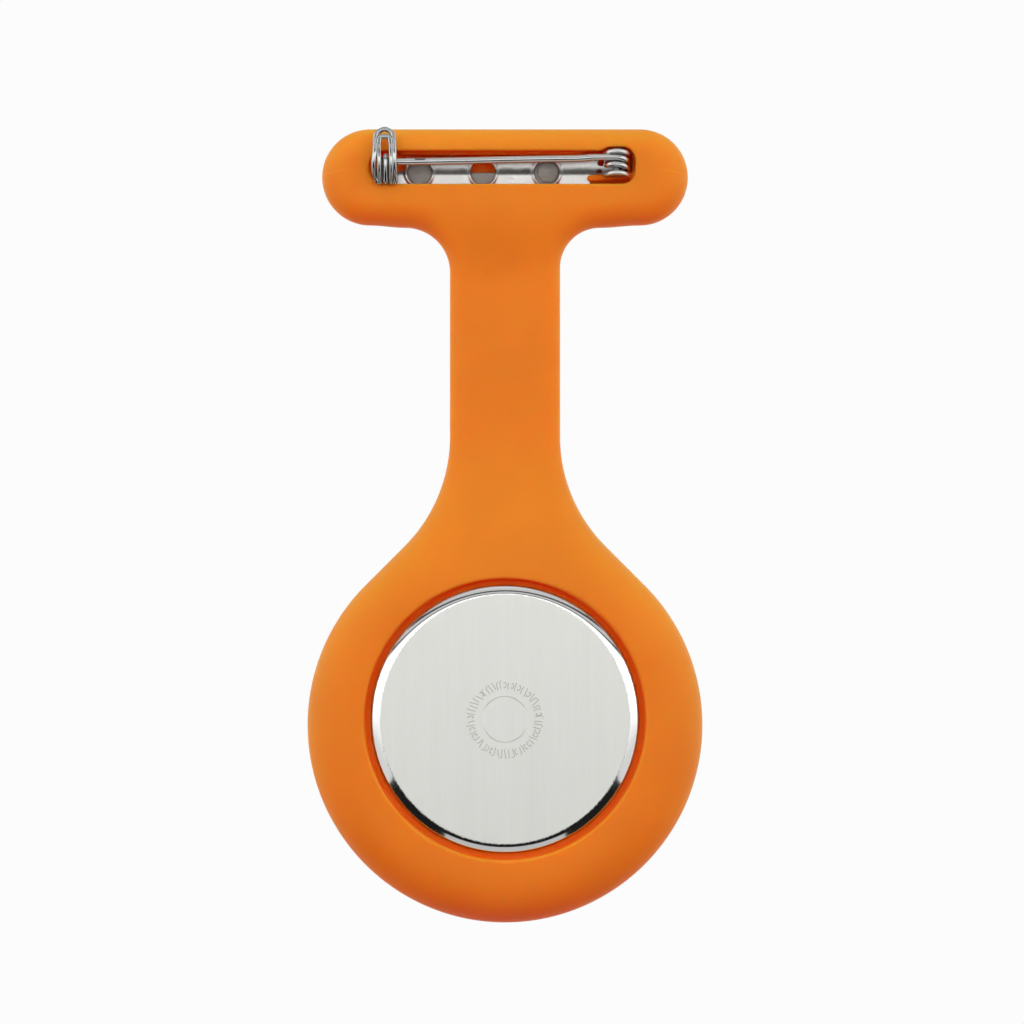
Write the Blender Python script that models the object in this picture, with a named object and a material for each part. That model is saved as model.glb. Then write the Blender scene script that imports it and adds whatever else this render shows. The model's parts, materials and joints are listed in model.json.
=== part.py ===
"""Silicone fob watch, hanging as it is worn: a brooch bar, a strap and a quartz watch head.

The frame: +Z is up, +Y is the side that faces the wearer's clothes, and the dial faces -Y.
The origin is on the brooch needle, at the middle of its span. Sizes are in millimetres until
the meshes are made. The twelve is at the bottom of the dial, so that the wearer can read it.
"""

import math

import bmesh
import bpy
from mathutils import Vector
from mathutils.geometry import tessellate_polygon

MM = 0.001

# --- silicone jacket: outline, seen along Y ---
BAR_HALF_LENGTH = 19.6
BAR_TOP = 3.4
BAR_BOTTOM = -6.9
BAR_FILLET = 4.3
STRAP_HALF_WIDTH = 5.9
STRAP_END = -28.3
FLARE_RADIUS = 19.7
FLARE_TURN = 45.0
BULB_RADIUS = 21.15
BULB_Z = -60.4

# --- silicone jacket: depths along Y ---
BAR_REAR = -0.25
BAR_FRONT = -6.4
STRAP_MIDDLE = -3.0
STRAP_THICKNESS = 3.0
FLEX_Z = -20.0
FLEX_GAP = 0.3
SLOT_LEFT = -14.0
SLOT_RIGHT = 14.6
SLOT_TOP = 1.2
SLOT_BOTTOM = -2.75
SLOT_CORNER = 1.1
SLOT_UNDERCUT = 0.4
SLOT_LIP = 1.65
SLOT_FLOOR = -3.4

# --- brooch fitting ---
WIRE = 0.3
NEEDLE_RADIUS = 0.34
COIL_X = -11.95
COIL_Y = -0.95
COIL_RADIUS = 0.95
COIL_TOP = 0.45
COIL_PITCH = 0.8
COIL_TURNS = 1.5
PLATE_Z = (-2.95, 0.45)
PLATE_Y = (-2.85, -2.35)
PLATE_HOLE_RADIUS = 1.3
PLATE_HOLES_X = (9.16, 2.36, -4.47)
PLATE_HOLES_Z = -1.23
CLASP_X = 12.83
BAIL_PIVOT = (0.15, -2.2)
BAIL_HALF_WIDTH = 1.14
BAIL_TOP = 3.4
BAIL_WIRE = 0.23
HOOK_HALF_WIDTH = 0.82

# --- watch head, all about one axis along Y ---
HEAD_Z = -59.7
CASE_RADIUS = 16.4
CASE_BORE = 12.9
CASE_REAR = -0.5
CASE_FRONT = -6.0
BACK_RADIUS = 14.17
BACK_FLAT_RADIUS = 13.33
BACK_Y = 1.3
CRYSTAL_RADIUS = 13.5
DIAL_Y = (-4.25, -3.85)
HAND_TIME = (10, 9, 35)

# --- movement ---
PLATE_RADIUS = 10.0
MAIN_PLATE = (-3.0, -2.6)
BRIDGE = (-0.7, -0.35)
PIVOT = 0.13
PIVOT_HOLE = 0.18
TUBE_RADIUS = 0.35
TUBE_BORE = 0.2
PIPE_RADIUS = 0.7
PIPE_BORE = 0.42
STEM_Y = -1.9
STEM_RADIUS = 0.35
LEVER_ARM = 2.2
LEVER_X = -7.5
BATTERY_RADIUS = 3.4
BATTERY_XZ = (-4.53, -4.53)
POSTS = ((-4.0, 5.2), (4.97, 0.6), (0.3, -3.9), (-1.2, -8.2))
COIL_AXIS_X = 6.8

# teeth of the wheels, each beside the pinion that meshes with it
SECONDS_TEETH, FIFTH_PINION, TRAIN_MODULE_A = 36, 6, 0.145
FIFTH_TEETH, ROTOR_PINION, TRAIN_MODULE_B = 30, 6, 0.11
THIRD_TEETH, SECONDS_PINION = 42, 7
CENTRE_TEETH, THIRD_PINION, CENTRE_MODULE = 60, 6, 0.09
MINUTE_TEETH, CANNON_PINION, MOTION_MODULE = 30, 10, 0.1
HOUR_TEETH, MINUTE_PINION = 32, 8
POINTED_FROM = 28

SMOOTH_ANGLE = math.radians(35)


# ---------------------------------------------------------------- places of the wheels
def on_circle(angle, radius, centre=(0.0, 0.0)):
    a = math.radians(angle)
    return centre[0] + radius * math.cos(a), centre[1] + radius * math.sin(a)


CENTRE_DISTANCE = CENTRE_MODULE * (CENTRE_TEETH + THIRD_PINION) / 2
THIRD_MODULE = 2 * CENTRE_DISTANCE / (THIRD_TEETH + SECONDS_PINION)
THIRD_ANGLE, FIFTH_ANGLE, ROTOR_ANGLE, MINUTE_ANGLE = 135.0, 60.0, 20.0, 200.0
THIRD_XZ = on_circle(THIRD_ANGLE, CENTRE_DISTANCE)
FIFTH_XZ = on_circle(FIFTH_ANGLE, TRAIN_MODULE_A * (SECONDS_TEETH + FIFTH_PINION) / 2)
ROTOR_XZ = on_circle(ROTOR_ANGLE, TRAIN_MODULE_B * (FIFTH_TEETH + ROTOR_PINION) / 2, FIFTH_XZ)
MINUTE_XZ = on_circle(MINUTE_ANGLE, MOTION_MODULE * (MINUTE_TEETH + CANNON_PINION) / 2)


# ---------------------------------------------------------------- scene and materials
def clear_scene():
    for obj in list(bpy.data.objects):
        bpy.data.objects.remove(obj)


def look(name, color, roughness, metallic=0.0):
    material = bpy.data.materials.new(name)
    material.use_nodes = True
    shader = material.node_tree.nodes["Principled BSDF"]
    shader.inputs["Base Color"].default_value = (*color, 1.0)
    shader.inputs["Roughness"].default_value = roughness
    shader.inputs["Metallic"].default_value = metallic
    return material


def pivot_empty(name, at):
    """An empty on a joint's axis, which the pieces of a moving body hang from."""
    empty = bpy.data.objects.new(name, None)
    empty.empty_display_size = 0.002
    empty.location = Vector(at) * MM
    bpy.context.scene.collection.objects.link(empty)
    return empty


# ---------------------------------------------------------------- mesh helpers
def placed(axis, u, v, w):
    """A point at (u, v) across the axis and w along it, in metres."""
    if axis == "X":
        return Vector((w, u, v)) * MM
    if axis == "Y":
        return Vector((u, w, v)) * MM
    return Vector((u, v, w)) * MM


def finished(name, bm, material, at):
    bmesh.ops.recalc_face_normals(bm, faces=bm.faces)
    mesh = bpy.data.meshes.new(name)
    bm.to_mesh(mesh)
    bm.free()
    mesh.materials.append(material)
    mesh.shade_smooth()
    mesh.set_sharp_from_angle(angle=SMOOTH_ANGLE)
    obj = bpy.data.objects.new(name, mesh)
    obj.location = Vector(at) * MM
    bpy.context.scene.collection.objects.link(obj)
    return obj


def circle(radius, steps=16, centre=(0.0, 0.0)):
    return [on_circle(360 * i / steps, radius, centre) for i in range(steps)]


def arc(centre, radius, start, end, steps):
    """Points from one angle to the other, both included."""
    return [on_circle(start + (end - start) * i / steps, radius, centre) for i in range(steps + 1)]


def capsule(first, second, radius, steps=6):
    """The outline round two points, as of a link with round ends."""
    along = math.degrees(math.atan2(second[1] - first[1], second[0] - first[0]))
    return arc(first, radius, along + 90, along + 270, steps) + arc(
        second, radius, along - 90, along + 90, steps
    )


def rounded_box(low, high, radius, steps=4):
    """A rectangle's outline with round corners."""
    left, right = low[0] + radius, high[0] - radius
    bottom, top = low[1] + radius, high[1] - radius
    outline = []
    for start, centre in enumerate(((right, top), (left, top), (left, bottom), (right, bottom))):
        outline += arc(centre, radius, 90 * start, 90 * start + 90, steps)
    return outline


def toothed(teeth, module, phase):
    """A gear's outline with thin teeth, one of them centred at the phase angle.

    A pinion's teeth have flat tips. A wheel's many small teeth are pointed.
    """
    pitch = 360 / teeth
    pitch_radius = module * teeth / 2
    tip, root = pitch_radius + 0.95 * module, pitch_radius - 1.2 * module
    outline = []
    for i in range(teeth):
        middle = phase + i * pitch
        tops = (-0.15, 0.15) if teeth < POINTED_FROM else (0.0,)
        outline.append(on_circle(middle - 0.27 * pitch, root))
        outline += [on_circle(middle + top * pitch, tip) for top in tops]
        outline.append(on_circle(middle + 0.27 * pitch, root))
    return outline


def gap_at(angle, teeth):
    """The phase that puts the middle of a gap at an angle."""
    return angle + 180 / teeth


def stacked(name, sections, material, at=(0, 0, 0), axis="Y", holes=()):
    """Prisms end to end along an axis as one body, with holes through them all.

    A section is (outline, low, high). Of two neighbours one outline lies inside the other.
    """
    bm = bmesh.new()

    def ring(outline, level):
        return [bm.verts.new(placed(axis, u, v, level)) for u, v in outline]

    def wall(low, high):
        for i, vert in enumerate(low):
            j = (i + 1) % len(low)
            bm.faces.new((vert, low[j], high[j], high[i]))

    def flat(rings):
        if len(rings) == 1:
            bm.faces.new(rings[0])
            return
        verts = [vert for loop in rings for vert in loop]
        for corners in tessellate_polygon([[vert.co for vert in loop] for loop in rings]):
            bm.faces.new([verts[i] for i in corners])

    walls = [(ring(outline, low), ring(outline, high)) for outline, low, high in sections]
    bores = [(ring(hole, sections[0][1]), ring(hole, sections[-1][2])) for hole in holes]
    for low, high in walls + bores:
        wall(low, high)
    for below, above in zip(walls, walls[1:]):
        wider, narrower = sorted((below[1], above[0]), key=spread, reverse=True)
        flat([wider, narrower])
    flat([walls[0][0]] + [low for low, _ in bores])
    flat([walls[-1][1]] + [high for _, high in bores])
    return finished(name, bm, material, at)


def spread(ring):
    """How far a ring of vertices reaches from the middle of the ring."""
    middle = sum((vert.co for vert in ring), Vector()) / len(ring)
    return max((vert.co - middle).length for vert in ring)


def turned(name, profile, material, at=(0, 0, 0), axis="Y", steps=48):
    """A closed profile of (radius, place along the axis) turned about the axis."""
    bm = bmesh.new()
    rings = []
    for radius, level in profile:
        if radius == 0:
            rings.append([bm.verts.new(placed(axis, 0, 0, level))])
            continue
        rings.append([bm.verts.new(placed(axis, u, v, level)) for u, v in circle(radius, steps)])
    for i, ring in enumerate(rings):
        other = rings[(i + 1) % len(rings)]
        for k in range(steps):
            n = (k + 1) % steps
            near = [ring[k % len(ring)], ring[n % len(ring)]]
            far = [other[n % len(other)], other[k % len(other)]]
            corners = list(dict.fromkeys(near + far))
            if len(corners) > 2:
                bm.faces.new(corners)
    return finished(name, bm, material, at)


def swept(name, points, radii, material, at=(0, 0, 0), up=(0, 0, 1), closed=False, sides=8):
    """A round wire along a path. Its cross-sections keep one side towards up."""
    bm = bmesh.new()
    path = [Vector(point) for point in points]
    count = len(path)
    rings = []
    for i, point in enumerate(path):
        before = path[i - 1] if i or closed else point
        after = path[(i + 1) % count] if i < count - 1 or closed else point
        across = (after - before).cross(Vector(up)).normalized()
        other = across.cross(after - before).normalized()
        rings.append(
            [
                bm.verts.new((point + radii[i] * (across * c + other * s)) * MM)
                for c, s in circle(1.0, sides)
            ]
        )
    for i in range(count if closed else count - 1):
        ring, following = rings[i], rings[(i + 1) % count]
        for k in range(sides):
            n = (k + 1) % sides
            bm.faces.new((ring[k], ring[n], following[n], following[k]))
    if not closed:
        bm.faces.new(rings[0])
        bm.faces.new(rings[-1])
    return finished(name, bm, material, at)


def change(obj, tool, operation):
    """A Boolean with a helper that is itself neither built nor rendered."""
    modifier = obj.modifiers.new(tool.name, "BOOLEAN")
    modifier.operation = operation
    modifier.object = tool
    tool.hide_render = True
    tool.display_type = "WIRE"


def rounded(obj, width, segments=2):
    bevel = obj.modifiers.new("round_edges", "BEVEL")
    bevel.width = width * MM
    bevel.segments = segments
    bevel.limit_method = "ANGLE"
    bevel.angle_limit = math.radians(40)


def mirrored(right):
    """An outline's right half, from top to bottom, closed by its mirror image."""
    return right + [(-x, z) for x, z in reversed(right)]


# ---------------------------------------------------------------- silicone jacket
def jacket_upper(silicone):
    """The brooch bar with its slot, and the strap down to where it flexes."""
    radius = (BAR_TOP - BAR_BOTTOM) / 2
    middle = (BAR_TOP + BAR_BOTTOM) / 2
    reach = BAR_HALF_LENGTH - radius
    bar = capsule((-reach, middle), (reach, middle), radius, 12)
    obj = stacked("jacket_upper", [(bar, BAR_FRONT, BAR_REAR)], silicone)
    rounded(obj, 1.3, 3)
    half = STRAP_THICKNESS / 2
    corner = (STRAP_HALF_WIDTH + BAR_FILLET, BAR_BOTTOM - BAR_FILLET)
    strap = [(corner[0], middle)] + arc(corner, BAR_FILLET, 90, 180, 5)
    strap = mirrored(strap + [(STRAP_HALF_WIDTH, FLEX_Z)])
    levels = (STRAP_MIDDLE - half, STRAP_MIDDLE + half)
    change(obj, stacked("strap_top", [(strap, *levels)], silicone), "UNION")
    end = circle(half, 24, (STRAP_MIDDLE, FLEX_Z))
    width = (-STRAP_HALF_WIDTH + 0.02, STRAP_HALF_WIDTH - 0.02)
    change(obj, stacked("strap_round_end", [(end, *width)], silicone, axis="X"), "UNION")
    for cutter in slot_cutters(silicone):
        change(obj, cutter, "DIFFERENCE")
    return obj


def slot_cutters(silicone):
    """The slot through the lip, with room for the coil's ear, and the wider chamber under it."""
    under = BAR_REAR - SLOT_LIP
    mouth = rounded_box((SLOT_LEFT, SLOT_BOTTOM), (SLOT_RIGHT, SLOT_TOP), SLOT_CORNER)
    slot = stacked("slot_mouth", [(mouth, under - 0.1, 1.0)], silicone)
    ear = capsule((COIL_X - 0.6, 0.1), (COIL_X + 0.6, 0.1), 1.5, 6)
    ear_room = stacked("slot_ear_room", [(ear, SLOT_FLOOR + 0.05, 1.0)], silicone)
    low = (SLOT_LEFT, SLOT_BOTTOM - SLOT_UNDERCUT)
    lower = rounded_box(low, (SLOT_RIGHT, SLOT_TOP), SLOT_CORNER)
    chamber = stacked("slot_chamber", [(lower, SLOT_FLOOR, under)], silicone)
    return slot, ear_room, chamber


def flare_outline():
    """The strap below its flex line, the flare and its two straight sides down to the bulb."""
    centre = (STRAP_HALF_WIDTH + FLARE_RADIUS, STRAP_END)
    right = [(STRAP_HALF_WIDTH, FLEX_Z - STRAP_THICKNESS / 2)]
    right += arc(centre, FLARE_RADIUS, 180, 180 + FLARE_TURN, 8)
    right += [on_circle(45, BULB_RADIUS, (0, BULB_Z)), on_circle(38, BULB_RADIUS - 2, (0, BULB_Z))]
    return mirrored(right)


def jacket_lower(silicone):
    """The lower strap, the flare and the hollow bulb round the watch head."""
    half = STRAP_THICKNESS / 2
    levels = (STRAP_MIDDLE - half, STRAP_MIDDLE + half)
    obj = stacked("jacket_lower", [(flare_outline(), *levels)], silicone)
    outer = [(12.0, 1.7), (15.4, 1.9), (17.4, 1.7), (19.2, 0.9), (20.6, -0.6)]
    outer += [(BULB_RADIUS, -2.2), (BULB_RADIUS, -3.8), (20.6, -5.4), (19.2, -6.9)]
    outer += [(17.4, -7.7), (15.4, -7.9), (12.0, -7.7)]
    bulb = turned("bulb", outer, silicone, at=(0, 0, BULB_Z), steps=48)
    change(obj, bulb, "UNION")
    room = [(0, 2.5), (15.0, 2.5), (15.0, 0.7), (14.45, -0.2), (14.45, -0.4), (16.0, -0.4)]
    room += [(16.5, -0.95), (16.5, -6.1), (16.25, -6.95), (15.0, -7.55), (15.0, -8.5), (0, -8.5)]
    change(obj, turned("head_room", room, silicone, at=(0, 0, HEAD_Z), steps=40), "DIFFERENCE")
    crown = circle(1.85, 16, (STEM_Y, 0))
    pocket = stacked("crown_pocket", [(crown, -18.8, -16.0)], silicone, at=(0, 0, HEAD_Z), axis="X")
    change(obj, pocket, "DIFFERENCE")
    cup = circle(half + FLEX_GAP, 24, (STRAP_MIDDLE, FLEX_Z))
    cutter = stacked("flex_cup", [(cup, -8, 8)], silicone, axis="X")
    change(obj, cutter, "DIFFERENCE")
    return obj


# ---------------------------------------------------------------- brooch fitting
def base_plate(steel):
    """The pierced plate with two round ears for the needle's rivet."""
    low, high = PLATE_Z
    outline = [(-13.0, low), (11.9, low), (11.9, -1.2), (10.9, -1.1), (10.4, high)]
    outline += [(-9.9, high), (-10.8, 1.15), (-11.2, 1.32), (-12.9, 1.32)]
    holes = [circle(PLATE_HOLE_RADIUS, 20, (x, PLATE_HOLES_Z)) for x in PLATE_HOLES_X]
    obj = stacked("pin_base_plate", [(outline, *PLATE_Y)], steel, holes=holes)
    for name, z in (("ear_upper", 1.13), ("ear_lower", -1.28)):
        ear = [(COIL_X - 1.0, PLATE_Y[0] + 0.2), (COIL_X + 1.0, PLATE_Y[0] + 0.2)]
        ear += arc((COIL_X, COIL_Y), 1.38, -15, 195, 12)
        tool = stacked(name, [(ear, z - 0.2, z + 0.2)], steel, axis="Z")
        change(obj, tool, "UNION")
    bore = stacked("ear_bore", [(circle(0.5, 16, (COIL_X, COIL_Y)), -2, 2)], steel, axis="Z")
    change(obj, bore, "DIFFERENCE")
    return obj


def backing_strip(steel):
    """The strip in the silicone behind the plate, with a raised pad behind its outer holes."""
    outline = [(-11.5, -2.9), (11.4, -2.9), (11.4, 0.1), (7.2, 0.1), (7.2, -1.25)]
    outline += [(-2.6, -1.25), (-2.6, 0.1), (-6.4, 0.1), (-6.4, -1.25), (-11.5, -1.25)]
    return stacked("pin_backing_strip", [(outline, -3.3, -2.95)], steel)


def needle(steel):
    """One spring wire: a pointed needle, a coil round the rivet and a short tail on the plate."""
    tip, shoulder = 14.0, 10.5
    start = [(tip, 0, -0.06), (shoulder, 0, -0.02), (0, 0, 0.15), (-9.5, 0, 0.4)]
    radii = [0.06, NEEDLE_RADIUS, NEEDLE_RADIUS, WIRE + 0.02]
    steps = round(COIL_TURNS * 16)
    coil = []
    for i in range(steps + 1):
        turn = i / 16
        x, y = on_circle(90 + 360 * turn, COIL_RADIUS, (COIL_X, COIL_Y))
        coil.append((x, y, COIL_TOP - COIL_PITCH * turn))
    last = coil[-1]
    tail = [(last[0] + 1.0, last[1], last[2] - 0.05), (last[0] + 3.2, last[1], last[2] - 0.1)]
    radii += [WIRE] * (len(coil) + len(tail))
    hub = (COIL_X, COIL_Y, 0)
    path = [tuple(p - h for p, h in zip(point, hub)) for point in start + coil + tail]
    return swept("pin_needle", path, radii, steel, at=hub)


def hinge_rivet(steel):
    profile = [(0, 1.5), (0.55, 1.48), (0.66, 1.36), (0.42, 1.36), (0.42, -1.53)]
    profile += [(0.66, -1.53), (0.6, -1.72), (0, -1.76)]
    return turned("hinge_rivet", profile, steel, at=(COIL_X, COIL_Y, 0), axis="Z", steps=16)


def catch_hook(steel):
    """The catch: a thick leaf that rises from the plate and curls over the needle."""
    y, z = BAIL_PIVOT
    outline = [(-2.3, -2.62), (-0.4, -2.62), *arc((y, z), 0.45, -90, -10, 4), (0.88, -1.4)]
    outline += [(1.0, -0.6), (0.98, 0.1), (0.82, 0.5), (0.56, 0.66), (0.44, 0.5)]
    outline += [(0.58, 0.1), (0.58, -0.6), (0.44, -1.25), (0.1, -1.62), (-0.4, -1.75), (-2.3, -1.8)]
    hole = circle(BAIL_WIRE + 0.05, 12, (y, z))
    width = (-HOOK_HALF_WIDTH, HOOK_HALF_WIDTH)
    return stacked("catch_hook", [(outline, *width)], steel, (CLASP_X, 0, 0), "X", [hole])


def safety_bail(steel):
    """The wire lock that closes over the catch, hinged through its foot. Its origin is its pivot."""
    y, z = BAIL_PIVOT
    w, top = BAIL_HALF_WIDTH, BAIL_TOP - z
    side = [(w, 0.0, 0.25), (w, 0.45, 0.7), (w + 0.04, 0.85, 1.3), (w + 0.04, 0.92, 2.3)]
    side += [(w, 0.72, 3.3), (w - 0.02, 0.4, 4.3), (w - 0.16, 0.3, 4.95)]
    side += [(w - 0.55, 0.25, top - 0.1)]
    right = [(w - 0.2, 0.0, 0.0), *side]
    left = [(-x, depth, height) for x, depth, height in reversed(right)]
    path = right + [(0.0, 0.25, top)] + left
    at = (CLASP_X, y, z)
    obj = swept("safety_bail", path, [BAIL_WIRE] * len(path), steel, at, (0, 1, 0), True)
    bar = [(-w + 0.05, 0.37, 4.7), (0, 0.37, 4.75), (w - 0.05, 0.37, 4.7)]
    change(obj, swept("bail_bar", bar, [BAIL_WIRE] * 3, steel, at, (0, 1, 0)), "UNION")
    return obj


# ---------------------------------------------------------------- watch case
def head(x=0.0, z=0.0, y=0.0):
    """A place in the watch head, from its middle."""
    return x, y, HEAD_Z + z


def case_pieces(steel, polished, rubber, glass):
    bore = CASE_BORE
    wall = [(bore, 0.3), (13.35, 0.3), (13.35, CASE_REAR), (15.9, CASE_REAR), (CASE_RADIUS, -1.0)]
    wall += [(CASE_RADIUS, -5.5), (16.0, CASE_FRONT), (bore, CASE_FRONT)]
    mid_case = turned("mid_case", wall, steel, head())
    hole = stacked("tube_hole", [(circle(0.67, 12, (STEM_Y, 0)), -18, -12)], steel, head(), "X")
    change(mid_case, hole, "DIFFERENCE")
    flat, rim = BACK_FLAT_RADIUS, BACK_RADIUS
    back = [(0, BACK_Y), (flat, BACK_Y), (flat + 0.42, BACK_Y - 0.1), (rim - 0.12, 0.95)]
    back += [(rim, 0.5), (rim, -0.4), (13.45, -0.4), (13.45, 0.9), (0, 0.9)]
    turned("case_back", back, polished, head(), steps=56)
    seal = [(12.95, 0.4), (13.3, 0.4), (13.3, 0.8), (12.95, 0.8)]
    turned("case_back_gasket", seal, rubber, head(), steps=32)
    ring = [(13.9, -6.1), (16.0, -6.1), (16.0, -6.75), (15.3, -7.25), (14.3, -7.4), (13.9, -7.25)]
    turned("bezel", ring, polished, head(), steps=48)
    lens = [(0, -6.1), (CRYSTAL_RADIUS, -6.1), (CRYSTAL_RADIUS, -7.0), (13.3, -7.2), (0, -7.2)]
    turned("crystal", lens, glass, head(), steps=48)
    seat = [(13.55, -6.1), (13.85, -6.1), (13.85, -7.05), (13.55, -7.05)]
    turned("crystal_gasket", seat, rubber, head(), steps=40)
    rehaut = [(11.9, -4.35), (12.8, -4.35), (12.8, -5.95), (12.45, -5.95)]
    turned("dial_ring", rehaut, polished, head(), steps=48)


def hand_place(angle, sideways, along):
    """A point on a hand. The angle is clockwise from twelve, which is at the bottom of the dial."""
    a = math.radians(angle)
    across = (-math.cos(a), math.sin(a))
    ahead = (-math.sin(a), -math.cos(a))
    return tuple(sideways * c + along * d for c, d in zip(across, ahead))


def hand(name, angle, half_outline, hole, levels, material):
    """A flat hand from its right half, tail to tip, given as (half width, distance from the hub)."""
    left = [(-w, d) for w, d in reversed(half_outline) if w]
    outline = [hand_place(angle, w, d) for w, d in half_outline + left]
    return stacked(name, [(outline, *levels)], material, head(), holes=[circle(hole, 12)])


def dial_and_hands(white, black, red):
    hour, minute, second = HAND_TIME
    second_angle = 6 * second
    minute_angle = 6 * minute + second_angle / 60
    hour_angle = 30 * hour + minute_angle / 12
    face = [(circle(12.8, 48), *DIAL_Y)]
    stacked("dial", face, white, head(), holes=[circle(0.85, 16)])
    baton = [(0.5, -2.2), (0.95, -0.9), (1.2, 0.0), (0.95, 0.9), (0.5, 1.6), (0.62, 6.4), (0, 7.2)]
    hand("hour_hand", hour_angle, baton, 0.74, (-4.75, -4.6), black)
    baton = [(0.4, -2.6), (0.6, -0.7), (0.8, 0.0), (0.6, 0.7), (0.4, 1.4), (0.48, 10.0), (0, 10.8)]
    hand("minute_hand", minute_angle, baton, 0.39, (-5.1, -4.95), black)
    thin = [(0.3, -3.6), (0.3, -1.9), (0.09, -1.7), (0.35, -0.35), (0.48, 0.0), (0.35, 0.35)]
    thin += [(0.09, 0.6), (0.05, 11.2), (0, 11.3)]
    hand("second_hand", second_angle, thin, 0.15, (-5.5, -5.38), red)


# ---------------------------------------------------------------- crown and keyless work
def crown_pieces(steel, polished, rubber, brass):
    def along_x(name, sections, material, holes=()):
        return stacked(name, sections, material, head(y=STEM_Y), "X", holes)

    crown = along_x("crown", [(toothed(24, 0.128, 0), -17.95, -16.6)], polished)
    recess = along_x("crown_recess", [(circle(0.82, 16), -17.15, -16.0)], polished)
    change(crown, recess, "DIFFERENCE")
    along_x("crown_gasket", [(circle(0.78, 16), -17.05, -16.75)], rubber, [circle(0.66, 16)])
    along_x("crown_tube", [(circle(0.62, 16), -16.95, -12.95)], steel, [circle(0.42, 16)])
    square = [(0.2, 0.2), (-0.2, 0.2), (-0.2, -0.2), (0.2, -0.2)]
    stem = [(circle(STEM_RADIUS, 12), -17.1, LEVER_X - 0.25)]
    stem += [(circle(0.15, 12), LEVER_X - 0.25, LEVER_X + 0.25)]
    stem += [(circle(STEM_RADIUS, 12), LEVER_X + 0.25, -6.9), (square, -6.9, -5.2)]
    along_x("winding_stem", stem, steel)
    bore = [(1.2 * u, 1.2 * v) for u, v in square]
    along_x("clutch_pinion", [(toothed(10, 0.1, 0), -6.5, -5.5)], brass, [bore])


def setting_lever(steel):
    """The lever whose pin rides in the stem's groove. Its origin is its pivot."""
    arm = capsule((0, 0), (0, -LEVER_ARM), 0.42)
    obj = stacked("setting_lever", [(arm, -1.35, -1.15)], steel, head(LEVER_X, LEVER_ARM))
    foot = stacked("lever_foot", [(circle(0.25, 12), -2.9, -1.25)], steel, head(LEVER_X, LEVER_ARM))
    change(obj, foot, "UNION")
    pin = stacked("lever_pin", [(circle(0.12, 8), -1.68, -1.25)], steel, head(LEVER_X, 0))
    change(obj, pin, "UNION")
    return obj


# ---------------------------------------------------------------- movement
def frame_plates(brass, plastic):
    pivots = [THIRD_XZ, FIFTH_XZ, ROTOR_XZ]
    holes = [circle(PIVOT_HOLE, 8, place) for place in pivots]
    front = [circle(0.42, 12), circle(0.25, 8, MINUTE_XZ), circle(0.3, 10, (LEVER_X, LEVER_ARM))]
    disc = [(circle(PLATE_RADIUS, 48), *MAIN_PLATE)]
    plate = stacked("main_plate", disc, brass, head(), holes=holes + front)
    post = [(0, -2.8), (0.55, -2.8), (0.55, -0.75), (0.27, -0.75), (0.27, -2.3), (0, -2.3)]
    for number, place in enumerate(POSTS, 1):
        tool = turned(f"post_{number}", post, brass, head(*place), steps=12)
        change(plate, tool, "UNION")
    bridge = [(-0.7, -4.7), (1.3, -4.7), (2.2, -2.2), (5.2, -0.5), (5.7, 0.6), (5.0, 5.0)]
    bridge += [(1.5, 5.6), (-3.2, 6.2), (-5.0, 6.0), (-5.0, 4.2), (-3.9, 1.0), (-3.2, -0.6)]
    bridge += [(-1.6, -1.8)]
    screwed = [circle(0.3, 10, place) for place in POSTS[:3]]
    tops = holes + [circle(PIVOT_HOLE, 8)] + screwed
    stacked("train_bridge", [(bridge, *BRIDGE)], brass, head(), holes=tops)
    ring = [(PLATE_RADIUS + 0.15, -3.7), (12.7, -3.7), (12.7, -0.2), (PLATE_RADIUS + 0.15, -0.2)]
    holder = turned("movement_ring", ring, plastic, head(), steps=40)
    hole = stacked("stem_hole", [(circle(0.6, 12, (STEM_Y, 0)), -14, -9)], plastic, head(), "X")
    change(holder, hole, "DIFFERENCE")


def screws(steel):
    shape = [(0, -0.02), (0.5, -0.02), (0.55, -0.1), (0.55, -0.3), (0.22, -0.3)]
    shape += [(0.22, -2.1), (0, -2.1)]
    names = ("bridge_screw_1", "bridge_screw_2", "bridge_screw_3")
    for name, place in zip(names, POSTS):
        turned(name, shape, steel, head(*place), steps=12)
    raised = [(r, y + 0.2) for r, y in shape]
    turned("clamp_screw", raised, steel, head(*POSTS[3]), steps=12)


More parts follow.
